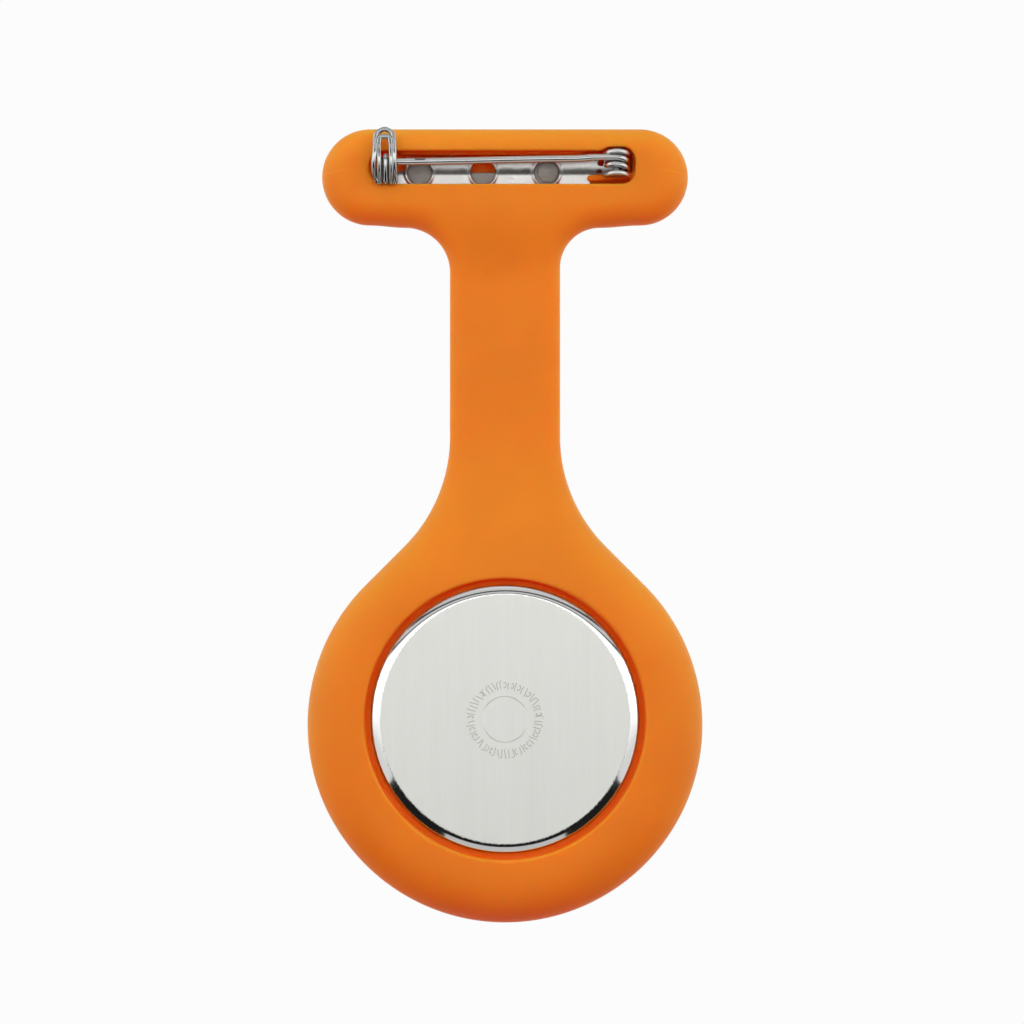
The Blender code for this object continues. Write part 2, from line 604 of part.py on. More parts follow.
def power_pieces(steel, copper, board_green, black, magnet_steel):
    cell = [(0, -2.5), (2.9, -2.5), (3.0, -2.25), (BATTERY_RADIUS, -2.15), (BATTERY_RADIUS, -0.4)]
    turned("battery", cell + [(3.3, -0.35), (0, -0.35)], steel, head(*BATTERY_XZ), steps=32)
    strip = capsule(POSTS[3], (-6.6, -3.3), 0.75)
    hole = circle(0.3, 10, POSTS[3])
    stacked("battery_clamp", [(strip, -0.27, -0.12)], steel, head(), holes=[hole])
    x, z = ROTOR_XZ
    low, high, end = -3.6, 5.4, COIL_AXIS_X + 0.5
    left = [p for p in arc((x, z), 1.45, 124, 238, 8) if p[0] < 2.6]
    right = [p for p in arc((x, z), 1.45, -60, 60, 10) if p[0] > 4.2]
    outline = [(end, high), (2.6, high)] + left + [(2.6, low), (end, low), (end, low + 1.1)]
    outline += [(4.2, low + 1.1)] + right + [(4.2, high - 1.0), (end, high - 1.0)]
    stacked("stator", [(outline, -2.15, -1.75)], magnet_steel, head(), holes=[circle(1.0, 20, (x, z))])
    winding = [(0, low), (0.3, low), (0.3, -2.3), (1.0, -2.3), (1.0, -2.1), (0.9, -2.1), (0.9, 4.0)]
    winding += [(1.0, 4.0), (1.0, 4.2), (0.3, 4.2), (0.3, high), (0, high)]
    turned("coil", winding, copper, head(COIL_AXIS_X, 0, -1.4), axis="Z", steps=20)
    board = [(2.2, -4.4), (8.3, -4.4), (6.9, -6.7), (4.5, -8.5), (2.2, -9.0)]
    stacked("circuit_board", [(board, -1.55, -1.25)], board_green, head())
    can = [(0, 2.8), (0.45, 2.85), (0.5, 3.0), (0.5, 7.1), (0.4, 7.3), (0, 7.35)]
    turned("quartz_can", can, steel, head(0, -5.4, -0.68), axis="X", steps=12)
    blob = [(0, -1.2), (1.0, -1.2), (0.8, -0.95), (0.4, -0.8), (0, -0.78)]
    turned("ic_blob", blob, black, head(4.0, -7.3), steps=16)


def train(brass, steel, magnet):
    a = FIFTH_ANGLE
    pinion = toothed(SECONDS_PINION, THIRD_MODULE, THIRD_ANGLE)
    arbor = [(circle(0.12, 8), -5.5, -2.12), (pinion, -2.12, -1.62)]
    arbor += [(circle(0.2, 8), -1.62, -1.45), (toothed(SECONDS_TEETH, TRAIN_MODULE_A, a), -1.45, -1.25)]
    arbor += [(circle(0.2, 8), -1.25, -0.75), (circle(PIVOT, 8), -0.75, -0.42)]
    stacked("seconds_wheel", arbor, brass, head())

    pinion = toothed(FIFTH_PINION, TRAIN_MODULE_A, gap_at(a + 180, FIFTH_PINION))
    wheel = toothed(FIFTH_TEETH, TRAIN_MODULE_B, ROTOR_ANGLE)
    fifth = [(circle(PIVOT, 8), -2.9, -2.6), (circle(0.2, 8), -2.6, -1.6), (pinion, -1.6, -1.1)]
    fifth += [(circle(0.2, 8), -1.1, -0.98), (wheel, -0.98, -0.82)]
    stacked("fifth_wheel", fifth + [(circle(PIVOT, 8), -0.82, -0.42)], brass, head(*FIFTH_XZ))

    rotor = [(circle(PIVOT, 8), -2.9, -2.25), (circle(0.8, 20), -2.25, -1.65)]
    rotor += [(circle(0.15, 8), -1.65, -1.12)]
    pinion = toothed(ROTOR_PINION, TRAIN_MODULE_B, gap_at(ROTOR_ANGLE + 180, ROTOR_PINION))
    rotor += [(pinion, -1.12, -0.76), (circle(PIVOT, 8), -0.76, -0.42)]
    stacked("rotor", rotor, magnet, head(*ROTOR_XZ))

    inward = THIRD_ANGLE + 180
    third = [(circle(PIVOT, 8), -2.9, -2.5), (toothed(THIRD_PINION, CENTRE_MODULE, inward), -2.5, -2.15)]
    wheel = toothed(THIRD_TEETH, THIRD_MODULE, gap_at(inward, THIRD_TEETH))
    third += [(circle(PIVOT, 8), -2.15, -1.95), (wheel, -1.95, -1.75), (circle(PIVOT, 8), -1.75, -0.42)]
    stacked("third_wheel", third, brass, head(*THIRD_XZ))

    tube = circle(TUBE_RADIUS, 16)
    centre = [(tube, -5.15, -3.4), (toothed(CANNON_PINION, MOTION_MODULE, MINUTE_ANGLE), -3.4, -3.1)]
    wheel = toothed(CENTRE_TEETH, CENTRE_MODULE, gap_at(THIRD_ANGLE, CENTRE_TEETH))
    centre += [(tube, -3.1, -2.45), (wheel, -2.45, -2.25), (circle(0.5, 12), -2.25, -2.17)]
    stacked("centre_wheel", centre, brass, head(), holes=[circle(TUBE_BORE, 12)])

    inward = MINUTE_ANGLE + 180
    minute = [(toothed(MINUTE_PINION, MOTION_MODULE, inward), -3.75, -3.3)]
    minute += [(toothed(MINUTE_TEETH, MOTION_MODULE, gap_at(inward, MINUTE_TEETH)), -3.3, -3.12)]
    stacked("minute_wheel", minute + [(circle(0.2, 8), -3.12, -2.7)], steel, head(*MINUTE_XZ))

    wheel = toothed(HOUR_TEETH, MOTION_MODULE, gap_at(MINUTE_ANGLE, HOUR_TEETH))
    hour = [(circle(PIPE_RADIUS, 16), -4.78, -3.7), (wheel, -3.7, -3.45)]
    stacked("hour_wheel", hour, brass, head(), holes=[circle(PIPE_BORE, 16)])


# ---------------------------------------------------------------- the whole watch
def moving_groups():
    """Hangs each moving piece from an empty on its joint's axis, where its own origin isn't there."""
    flex = pivot_empty("strap_flex_axis", (0, STRAP_MIDDLE, FLEX_Z))
    below = [obj for obj in bpy.data.objects if obj.location.z < FLEX_Z * MM and obj is not flex]
    for obj in below + [bpy.data.objects["jacket_lower"]]:
        obj.parent = flex
        obj.matrix_parent_inverse = flex.matrix_basis.inverted()


def build():
    clear_scene()
    silicone = look("silicone", (0.79, 0.215, 0.018), 0.5)
    steel = look("steel", (0.62, 0.62, 0.61), 0.32, 1.0)
    polished = look("polished_steel", (0.76, 0.76, 0.74), 0.16, 1.0)
    brass = look("brass", (0.72, 0.52, 0.22), 0.3, 1.0)
    copper = look("copper", (0.72, 0.28, 0.1), 0.35, 1.0)
    magnet = look("magnet", (0.16, 0.16, 0.17), 0.45, 0.8)
    rubber = look("rubber", (0.03, 0.03, 0.03), 0.7)
    black = look("black", (0.015, 0.015, 0.016), 0.35)
    red = look("red", (0.62, 0.03, 0.02), 0.35)
    white = look("white", (0.86, 0.86, 0.85), 0.4)
    plastic = look("movement_plastic", (0.82, 0.81, 0.78), 0.45)
    green = look("board", (0.03, 0.19, 0.09), 0.4)
    glass = look("glass", (0.9, 0.93, 0.94), 0.03)
    jacket_upper(silicone)
    jacket_lower(silicone)
    base_plate(steel)
    backing_strip(steel)
    needle(steel)
    hinge_rivet(steel)
    catch_hook(steel)
    safety_bail(steel)
    case_pieces(steel, polished, rubber, glass)
    dial_and_hands(white, black, red)
    crown_pieces(steel, polished, rubber, brass)
    setting_lever(steel)
    frame_plates(brass, plastic)
    screws(steel)
    power_pieces(steel, copper, green, black, magnet)
    train(brass, steel, magnet)
    moving_groups()


build()
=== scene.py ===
"""The looks of the silicone fob watch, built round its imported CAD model.

The frame: +Z is up, +Y is the side that faces the wearer, the dial faces -Y, and the origin is on the
brooch needle. Sizes here are in millimetres until a mesh is made.
"""

import json
import math

import bmesh
import bpy
import numpy as np
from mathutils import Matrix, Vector
from mathutils.geometry import tessellate_polygon


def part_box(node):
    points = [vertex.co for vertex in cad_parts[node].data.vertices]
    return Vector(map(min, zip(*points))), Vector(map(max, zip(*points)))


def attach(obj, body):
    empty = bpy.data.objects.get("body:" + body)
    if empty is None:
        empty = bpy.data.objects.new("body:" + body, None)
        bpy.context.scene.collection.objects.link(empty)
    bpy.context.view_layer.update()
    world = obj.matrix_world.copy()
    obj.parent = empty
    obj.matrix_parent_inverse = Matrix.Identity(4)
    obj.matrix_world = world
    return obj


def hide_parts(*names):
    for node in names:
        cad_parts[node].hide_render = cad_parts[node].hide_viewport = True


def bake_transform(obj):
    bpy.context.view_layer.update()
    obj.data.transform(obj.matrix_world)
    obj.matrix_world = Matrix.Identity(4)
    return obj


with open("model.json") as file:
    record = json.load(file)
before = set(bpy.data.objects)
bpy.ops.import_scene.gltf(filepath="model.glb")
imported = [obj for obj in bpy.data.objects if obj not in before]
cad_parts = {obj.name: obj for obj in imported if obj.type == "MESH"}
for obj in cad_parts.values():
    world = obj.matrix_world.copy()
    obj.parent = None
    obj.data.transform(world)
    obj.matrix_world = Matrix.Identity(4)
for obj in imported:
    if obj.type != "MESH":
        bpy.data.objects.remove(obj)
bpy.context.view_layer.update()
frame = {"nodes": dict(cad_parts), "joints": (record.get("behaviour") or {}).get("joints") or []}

MM = 0.001


def span(node):
    """A CAD node's lowest and highest corner, in millimetres."""
    low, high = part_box(node)
    return low / MM, high / MM


# --- places, from the frame ---
UPPER_LOW, UPPER_HIGH = span("jacket_upper")
LOWER_LOW, LOWER_HIGH = span("jacket_lower")
BACK_LOW, BACK_HIGH = span("case_back")
BEZEL_LOW, BEZEL_HIGH = span("bezel")
CRYSTAL_LOW, CRYSTAL_HIGH = span("crystal")
DIAL_LOW, DIAL_HIGH = span("dial")
STRIP_LOW, STRIP_HIGH = span("pin_backing_strip")
HOOK_LOW, HOOK_HIGH = span("catch_hook")
CROWN_LOW, CROWN_HIGH = span("crown")
JOINTS = {joint["name"]: joint for joint in frame["joints"]}
NEEDLE_PIVOT, BAIL_PIVOT, FLEX_PIVOT = (
    Vector(JOINTS[name]["pos_m"]) / MM for name in ("needle_swing", "bail_swing", "strap_flex")
)
HEAD_Z = (BACK_LOW.z + BACK_HIGH.z) / 2
BACK_FLAT = 13.27  # the radius of the case back's brushed face
STEM_Y = (CROWN_LOW.y + CROWN_HIGH.y) / 2

# --- silicone jacket: outline ---
BAR_TOP = UPPER_HIGH.z
BAR_RADIUS = 5.15
BAR_END = (UPPER_HIGH.x - BAR_RADIUS, BAR_TOP - BAR_RADIUS)
BAR_DIP = 0.25
STRAP_HALF_WIDTH = 5.9
FILLET_LEFT, FILLET_RIGHT = 4.8, 4.3
STRAP_END = -29.5
FLARE_TURN = math.radians(45)
BULB_RADIUS = LOWER_HIGH.x
BULB_Z = LOWER_LOW.z + BULB_RADIUS
FLARE_RADIUS = (
    math.cos(FLARE_TURN) * STRAP_HALF_WIDTH + math.sin(FLARE_TURN) * (STRAP_END - BULB_Z) - BULB_RADIUS
) / (1 - math.cos(FLARE_TURN))

# --- silicone jacket: depths, as the middle along Y, half the thickness and the edge's rounding ---
BAR_DEPTH = ((UPPER_LOW.y + UPPER_HIGH.y) / 2, (UPPER_HIGH.y - UPPER_LOW.y) / 2, 2.8)
STRAP_DEPTH = (FLEX_PIVOT.y, 1.5, 1.25)
BULB_DEPTH = ((LOWER_LOW.y + LOWER_HIGH.y) / 2, (LOWER_HIGH.y - LOWER_LOW.y) / 2, BULB_RADIUS - 16.0)
BAR_TO_STRAP = (-4.5, -13.5)
STRAP_TO_BULB = (-28.5, -47.0)
EDGE_POWER = 2.3
GRID = 0.33
FINE_GRID = 0.15

# --- silicone jacket: slot ---
SLOT_X = (-13.9, 14.45)
SLOT_Z = (-2.55, 0.97)
SLOT_CORNERS = (1.4, 1.6)
SLOT_UNDERCUT = 0.4
SLOT_LIP = 1.65
SLOT_FLOOR = -3.4
LIP_ROUNDING = 0.3
EAR_Z, EAR_HALF_LENGTH, EAR_ROOM = 0.1, 0.6, 1.3
END_LEDGE = (-13.35, 1.7)  # where it stands, and its rise over the floor
TOP_LEDGE = (0.5, 1.7)
TOP_LEDGE_ENDS = (-8.8, 11.6)
TONGUE = ((-9.15, -1.92), (-13.8, -1.62), -1.62, 0.36)  # its ends in X and Z, its place along Y, its radius

# --- silicone jacket: room for the head, as radii and places along Y ---
MOUTH_RADIUS = 15.0
MOUTH_FLOOR = 0.75
MOUTH_THROAT = 14.22
ROOM_RADIUS = 16.5
ROOM_Y = (-6.1, -0.4)
ROOM_OVERLAP = 0.1
FRONT_LIP_Y = (-6.95, -7.55)
FRONT_LIP_RADIUS = 16.25
CROWN_POCKET = (-18.8, 1.85)  # its outer end in X, its radius
CROWN_POCKET_HALF = 2


# --- the jacket as a field ---
def smoothstep(value, start, end):
    t = np.clip((value - start) / (end - start), 0.0, 1.0)
    return t * t * (3 - 2 * t)


def smooth_max(first, second, radius):
    """The larger of two fields, with the crease between them rounded."""
    reach = np.clip(radius - np.abs(first - second), 0.0, None)
    return np.maximum(first, second) + reach * reach / (4 * radius)


def outline_depth(x, z):
    """How far inside the jacket's outline a point is, negative outside, seen along Y."""
    fillet = np.where(x > 0, FILLET_LEFT, FILLET_RIGHT)
    x = np.abs(x)
    end_x, end_z = BAR_END
    bar_bottom = end_z - BAR_RADIUS
    corner_x, corner_z = STRAP_HALF_WIDTH + fillet, bar_bottom - BAR_DIP - fillet
    beside_end = BAR_RADIUS - np.hypot(x - end_x, z - end_z)
    below_bar = z - bar_bottom + BAR_DIP * smoothstep(x, end_x, corner_x)
    in_fillet = np.hypot(x - corner_x, z - corner_z) - fillet
    beside_strap = STRAP_HALF_WIDTH - x
    flare_x = STRAP_HALF_WIDTH + FLARE_RADIUS
    in_flare = np.hypot(x - flare_x, z - STRAP_END) - FLARE_RADIUS
    slope = (math.cos(FLARE_TURN), math.sin(FLARE_TURN))
    on_slope = BULB_RADIUS - (x * slope[0] + (z - BULB_Z) * slope[1])
    in_bulb = BULB_RADIUS - np.hypot(x, z - BULB_Z)
    turn = np.arctan2(STRAP_END - z, flare_x - x)
    flare_end = STRAP_END - FLARE_RADIUS * slope[1] + (x - flare_x + FLARE_RADIUS * slope[0])
    bulb_start = BULB_Z + x
    in_bar = z > corner_z
    past_end = in_bar & (x > end_x)
    side = np.select(
        [past_end, in_bar & (x > corner_x), in_bar, z > STRAP_END, z < bulb_start,
         (turn < FLARE_TURN) & (z > flare_end)],
        [beside_end, below_bar, in_fillet, beside_strap, in_bulb, in_flare],
        on_slope,
    )
    return np.where(past_end, side, np.minimum(side, BAR_TOP - z))


def jacket_depths(z):
    """The jacket's middle along Y, half its thickness and its edge's rounding, at heights z."""
    lower = smoothstep(z, *BAR_TO_STRAP)
    bulb = smoothstep(z, *STRAP_TO_BULB)
    for bar, strap, round_end in zip(BAR_DEPTH, STRAP_DEPTH, BULB_DEPTH):
        value = bar + (strap - bar) * lower
        yield value + (round_end - value) * bulb


def slot_field(x, y, z):
    """Negative in the brooch fitting's slot: the mouth, the coil's ear room and the wider chamber."""
    corner = np.where(x > 0, SLOT_CORNERS[1], SLOT_CORNERS[0])

    def rounded_box(low_z):
        middle = (sum(SLOT_X) / 2, (low_z + SLOT_Z[1]) / 2)
        across = np.abs(x - middle[0]) - (SLOT_X[1] - SLOT_X[0]) / 2 + corner
        along = np.abs(z - middle[1]) - (SLOT_Z[1] - low_z) / 2 + corner
        outside = np.hypot(np.maximum(across, 0), np.maximum(along, 0))
        return outside + np.minimum(np.maximum(across, along), 0) - corner

    ear_x = np.abs(x - NEEDLE_PIVOT.x) - EAR_HALF_LENGTH
    ear = np.hypot(np.maximum(ear_x, 0), z - EAR_Z) - EAR_ROOM
    mouth = -smooth_max(-rounded_box(SLOT_Z[0]), -ear, LIP_ROUNDING)
    under = UPPER_HIGH.y - SLOT_LIP
    chamber = smooth_max(rounded_box(SLOT_Z[0] - SLOT_UNDERCUT), y - under, LIP_ROUNDING)
    (end, end_rise), (top, top_rise) = END_LEDGE, TOP_LEDGE
    first, last = TOP_LEDGE_ENDS
    along_top = smoothstep(z, top, top + 0.2) * smoothstep(x, first, first + 0.5) * smoothstep(-x, -last, 0.4 - last)
    floor = SLOT_FLOOR + np.maximum(end_rise * smoothstep(end - x, 0.0, 0.25), top_rise * along_top)
    return smooth_max(np.minimum(mouth, chamber), floor - y, LIP_ROUNDING)


def tongue_field(x, y, z):
    """Negative in the silicone tongue that lies over the plate, below the coil."""
    (start_x, start_z), (end_x, end_z), middle, radius = TONGUE
    share = np.clip((x - start_x) / (end_x - start_x), 0, 1)
    off_x = x - start_x - share * (end_x - start_x)
    off_z = z - start_z - share * (end_z - start_z)
    return np.sqrt(off_x**2 + (y - middle) ** 2 + off_z**2) - radius


def head_field(x, y, z):
    """Negative in the room for the watch head, which the silicone holds by a lip at each side."""
    radius = np.hypot(x, z - HEAD_Z)
    rear = smooth_max(radius - MOUTH_RADIUS, MOUTH_FLOOR - y, LIP_ROUNDING)
    rear = np.minimum(rear, np.maximum(radius - MOUTH_THROAT, ROOM_Y[1] - ROOM_OVERLAP - y))
    middle = (ROOM_Y[0] + ROOM_Y[1]) / 2
    room = smooth_max(radius - ROOM_RADIUS, np.abs(y - middle) - (ROOM_Y[1] - middle), 0.5)
    steps = [FRONT_LIP_Y[1], FRONT_LIP_Y[0], ROOM_Y[0]]
    lip = np.interp(y, steps, [MOUTH_RADIUS, FRONT_LIP_RADIUS, ROOM_RADIUS])
    front = np.maximum(radius - lip, y - ROOM_Y[0] - ROOM_OVERLAP)
    pocket = np.hypot(y - STEM_Y, z - HEAD_Z) - CROWN_POCKET[1]
    pocket_x = CROWN_POCKET[0] + CROWN_POCKET_HALF
    pocket = smooth_max(pocket, np.abs(x - pocket_x) - CROWN_POCKET_HALF, 0.5)
    return np.minimum(np.minimum(rear, room), np.minimum(front, pocket))


def jacket_field(x, y, z):
    middle, half, rounding = jacket_depths(z)
    across = np.clip(1 - outline_depth(x, z) / rounding, 0, None)
    along = np.abs(y - middle) / half
    body = ((across**EDGE_POWER + along**EDGE_POWER) ** (1 / EDGE_POWER) - 1) * half
    body = smooth_max(body, -slot_field(x, y, z), LIP_ROUNDING)
    body = -smooth_max(-body, -tongue_field(x, y, z), LIP_ROUNDING)
    return smooth_max(body, -head_field(x, y, z), LIP_ROUNDING)


# --- a mesh from a field ---
def surface_nets(field, axes):
    """Vertices and quads of where a field on a grid is zero, with one vertex in each cell it crosses."""
    inside = field < 0
    grid = np.stack(np.meshgrid(*axes, indexing="ij"), axis=-1)
    cells = tuple(n - 1 for n in field.shape)
    total, count = np.zeros((*cells, 3)), np.zeros(cells)
    crossings = []
    for axis in range(3):
        first, second = (
            tuple(part if i == axis else slice(None) for i in range(3)) for part in (slice(None, -1), slice(1, None))
        )
        crossed = inside[first] != inside[second]
        share = np.where(crossed, field[first] / np.where(crossed, field[first] - field[second], 1.0), 0.0)
        point = grid[first] + share[..., None] * (grid[second] - grid[first])
        others = [i for i in range(3) if i != axis]
        for shift in ((0, 0), (0, 1), (1, 0), (1, 1)):
            pick = [slice(None)] * 3
            for other, offset in zip(others, shift):
                pick[other] = slice(offset, cells[other] + offset)
            pick = tuple(pick)
            total += np.where(crossed[pick][..., None], point[pick], 0)
            count += crossed[pick]
        crossings.append((axis, others, crossed, inside[first]))
    active = count > 0
    index = np.full(cells, -1)
    index[active] = np.arange(active.sum())
    faces = []
    for axis, others, crossed, starts_inside in crossings:
        at = np.argwhere(crossed)
        corners = []
        for shift in ((1, 1), (0, 1), (0, 0), (1, 0)):
            cell = at.copy()
            cell[:, others] -= shift
            corners.append(index[tuple(cell.T)])
        ring = np.stack(corners, axis=1)
        turned = starts_inside[tuple(at.T)] == (axis == 1)
        faces.append(np.where(turned[:, None], ring[:, ::-1], ring))
    return total[active] / count[active][:, None], np.concatenate(faces)


def gradient(field, points):
    step = 0.01
    result = np.empty_like(points)
    for axis, offset in enumerate(step * np.eye(3)):
        result[:, axis] = (field(*(points + offset).T) - field(*(points - offset).T)) / (2 * step)
    return result


def field_shape(field, axes):
    """The surface where a field is zero, as points and quads, with the field's slope at each point."""
    points, faces = surface_nets(field(*np.meshgrid(*axes, indexing="ij")), axes)
    reach = float(np.median(np.diff(axes[0]))) / 2
    for _ in range(4):
        slope = gradient(field, points)
        length = np.clip((slope**2).sum(axis=1), 0.2, None)
        points -= np.clip((field(*points.T) / length)[:, None] * slope, -reach, reach)
    slope = gradient(field, points)
    return points, faces, slope / np.linalg.norm(slope, axis=1)[:, None]


def linked(name, data):
    """A new object in the scene."""
    obj = bpy.data.objects.new(name, data)
    bpy.context.scene.collection.objects.link(obj)
    return obj


def jacket_axes():
    """Grid lines a little past the jacket's box, closer together across the slot's lips."""
    reach = 1.0
    x = np.arange(-LOWER_HIGH.x - reach, LOWER_HIGH.x + reach, GRID)
    y = np.arange(LOWER_LOW.y - reach, LOWER_HIGH.y + reach, GRID * 0.8)
    fine = np.arange(SLOT_Z[0] - SLOT_UNDERCUT - 0.5, SLOT_Z[1] + 0.9, FINE_GRID)
    below = np.arange(fine[0] - GRID, LOWER_LOW.z - reach, -GRID)[::-1]
    above = np.arange(fine[-1] + GRID, BAR_TOP + reach, GRID)
    return x, y, np.concatenate([below, fine, above])


# --- shapes: lists of points and faces, in millimetres ---
def arc(centre, radius, start, end, steps):
    """Points on a circle in a plane, with angles in degrees."""
    angles = [math.radians(start + (end - start) * i / steps) for i in range(steps + 1)]
    return [(centre[0] + radius * math.cos(a), centre[1] + radius * math.sin(a)) for a in angles]


def circle(radius, centre=(0.0, 0.0), steps=64):
    return arc(centre, radius, 0, 360, steps)[:-1]


def softened(points, radius, closed=True, steps=4):
    """The same outline with each corner rounded."""
    result = []
    count = len(points)
    for i, corner in enumerate(points):
        if not closed and i in (0, count - 1):
            result.append(tuple(corner))
            continue
        corner = Vector(corner)
        before, after = Vector(points[i - 1]) - corner, Vector(points[(i + 1) % count]) - corner
        cut = min(radius, 0.45 * before.length, 0.45 * after.length)
        first, last = corner + before.normalized() * cut, corner + after.normalized() * cut
        for step in range(steps + 1):
            t = step / steps
            result.append(tuple(first * (1 - t) ** 2 + corner * 2 * t * (1 - t) + last * t * t))
    return result


def flowing(points, steps=8, closed=False):
    """A Catmull-Rom curve through the points."""
    points = np.array(points, float)
    if closed:
        ends = np.concatenate([points[-1:], points, points[:2]])
    else:
        ends = np.concatenate([2 * points[:1] - points[1:2], points, 2 * points[-1:] - points[-2:-1]])
    result = []
    for a, b, c, d in zip(ends, ends[1:], ends[2:], ends[3:]):
        for t in np.arange(steps) / steps:
            bend = (2 * a - 5 * b + 4 * c - d) * t**2
            result.append(0.5 * (2 * b + (c - a) * t + bend + (3 * b - a - 3 * c + d) * t**3))
    if not closed:
        result.append(ends[-2])
    return np.array(result)


def upright(axis, u, v, w):
    """A point at (u, v) across an axis and w along it."""
    return {"X": (w, u, v), "Y": (u, w, v), "Z": (u, v, w)}[axis]


def revolved(profile, centre=(0, 0, 0), axis="Y", steps=192):
    """A profile of (radius, place along the axis), turned about the axis. It closes on itself off the axis."""
    points, rings = [], []
    for radius, along in profile:
        count = steps if radius else 1
        rings.append(range(len(points), len(points) + count))
        for u, v in circle(radius, steps=count) if radius else [(0.0, 0.0)]:
            points.append(tuple(c + p for c, p in zip(centre, upright(axis, u, v, along))))
    pairs = list(zip(rings, rings[1:]))
    if profile[0][0] and profile[-1][0]:
        pairs.append((rings[-1], rings[0]))
    faces = []
    for first, second in pairs:
        for i in range(steps):
            ring = [first[i % len(first)], first[(i + 1) % len(first)]]
            ring += [second[(i + 1) % len(second)], second[i % len(second)]]
            faces.append(list(dict.fromkeys(ring)))
    return points, faces


def slab(outline, levels, axis="Y", holes=(), bevel=0.05, centre=(0, 0, 0)):
    """A flat piece between two levels, with its edges rounded over."""
    loops = []
    for index, loop in enumerate([outline, *holes]):
        area = sum(a[0] * b[1] - b[0] * a[1] for a, b in zip(loop, [*loop[1:], loop[0]]))
        loops.append(list(loop) if (area > 0) == (index == 0) else list(loop)[::-1])
    low, high = levels
    bevel = min(bevel, (high - low) / 2.05)
    rings = [(bevel * (1 - math.sin(a)), low + bevel * (1 - math.cos(a))) for a in np.radians([0, 30, 60, 90])]
    rings += [(inset, low + high - level) for inset, level in reversed(rings)]
    points, faces = [], []
    starts = []
    for inset, level in rings:
        starts.append(len(points))
        for loop in loops:
            for i, place in enumerate(loop):
                before = (Vector(place) - Vector(loop[i - 1])).normalized()
                after = (Vector(loop[(i + 1) % len(loop)]) - Vector(place)).normalized()
                inward = Vector((-before.y - after.y, before.x + after.x))
                moved = upright(axis, *(Vector(place) + inward.normalized() * inset), level)
                points.append(tuple(c + p for c, p in zip(centre, moved)))
    for first, second in zip(starts, starts[1:]):
        offset = 0
        for loop in loops:
            count = len(loop)
            for i in range(count):
                a, b = offset + i, offset + (i + 1) % count
                faces.append([first + a, first + b, second + b, second + a])
            offset += count
    for triangle in tessellate_polygon([[Vector((*place, 0)) for place in loop] for loop in loops]):
        faces.append([starts[0] + i for i in triangle][::-1])
        faces.append([starts[-1] + i for i in triangle])
    return points, faces


def swept(path, radii, sides=20, closed=False):
    """A round wire along a path, with rounded ends."""
    path = np.array(path, float)
    radii = np.broadcast_to(np.array(radii, float), len(path)).copy()
    if not closed:
        caps = np.radians([15, 40, 65, 85])
        heads, tails = (
            [end + (end - beside) / np.linalg.norm(end - beside) * radius * np.sin(a) for a in caps]
            for end, beside, radius in ((path[0], path[1], radii[0]), (path[-1], path[-2], radii[-1]))
        )
        path = np.array([*heads[::-1], *path, *tails])
        radii = np.array([*(radii[0] * np.cos(caps))[::-1], *radii, *(radii[-1] * np.cos(caps))])
    if closed:
        tangents = np.roll(path, -1, 0) - np.roll(path, 1, 0)
    else:
        tangents = np.gradient(path, axis=0)
    tangents /= np.linalg.norm(tangents, axis=1)[:, None]
    side = np.cross(tangents[0], (0.0, 1.0, 0.0))
    if np.linalg.norm(side) < 0.1:
        side = np.cross(tangents[0], (1.0, 0.0, 0.0))
    points, faces = [], []
    turns = np.arange(sides) * 2 * np.pi / sides
    for place, tangent, radius in zip(path, tangents, radii):
        side = side - tangent * side.dot(tangent)
        side /= np.linalg.norm(side)
        other = np.cross(tangent, side)
        points += [tuple(place + radius * (np.cos(a) * side + np.sin(a) * other)) for a in turns]
    rings = len(path)
    for ring in range(rings if closed else rings - 1):
        first, second = ring * sides, (ring + 1) % rings * sides
        faces += [[first + i, first + (i + 1) % sides, second + (i + 1) % sides, second + i] for i in range(sides)]
    if not closed:
        faces.append(list(range(sides)))
        faces.append([(rings - 1) * sides + i for i in range(sides)])
    return points, faces


def lettering(text, size, centre, levels):
    """A raised number on the dial, read from the front with the twelve at the top."""
    curve = bpy.data.curves.new(text, "FONT")
    curve.body = text
    curve.size = size
    curve.align_x, curve.align_y = "CENTER", "CENTER"
    curve.extrude = (levels[1] - levels[0]) / 2
    curve.resolution_u = 6
    holder = linked(text, curve)
    bpy.context.view_layer.update()
    mesh = holder.evaluated_get(bpy.context.evaluated_depsgraph_get()).to_mesh()
    places = np.array([vertex.co for vertex in mesh.vertices])
    places[:, :2] -= (places[:, :2].max(0) + places[:, :2].min(0)) / 2
    points = [(centre[0] - across, sum(levels) / 2 - out, centre[1] - up) for across, up, out in places]
    faces = [list(polygon.vertices) for polygon in mesh.polygons]
    bpy.data.objects.remove(holder)
    bpy.data.curves.remove(curve)
    return points, faces


def meshed(name, shapes, material, scale):
    """An object made of shapes, with smooth faces."""
    points, faces = [], []
    for places, polygons in shapes:
        start = len(points)
        points += [[scale * float(c) for c in place] for place in places]
        faces += [[start + int(i) for i in polygon] for polygon in polygons]
    mesh = bpy.data.meshes.new(name)
    mesh.from_pydata(points, [], faces)
    mesh.shade_smooth()
    mesh.materials.append(material)
    return linked(name, mesh)


def piece(name, shapes, look, body, replaced=(), sharp=35):
    """One visible piece made of shapes, riding on a body and standing for CAD nodes."""
    obj = meshed(name, shapes, LOOKS[look], MM)
    bm = bmesh.new()
    bm.from_mesh(obj.data)
    bmesh.ops.recalc_face_normals(bm, faces=bm.faces)
    bm.to_mesh(obj.data)
    bm.free()
    obj.data.set_sharp_from_angle(angle=math.radians(sharp))
    if body:
        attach(obj, body)
    if replaced:
        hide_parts(*replaced)
    return obj


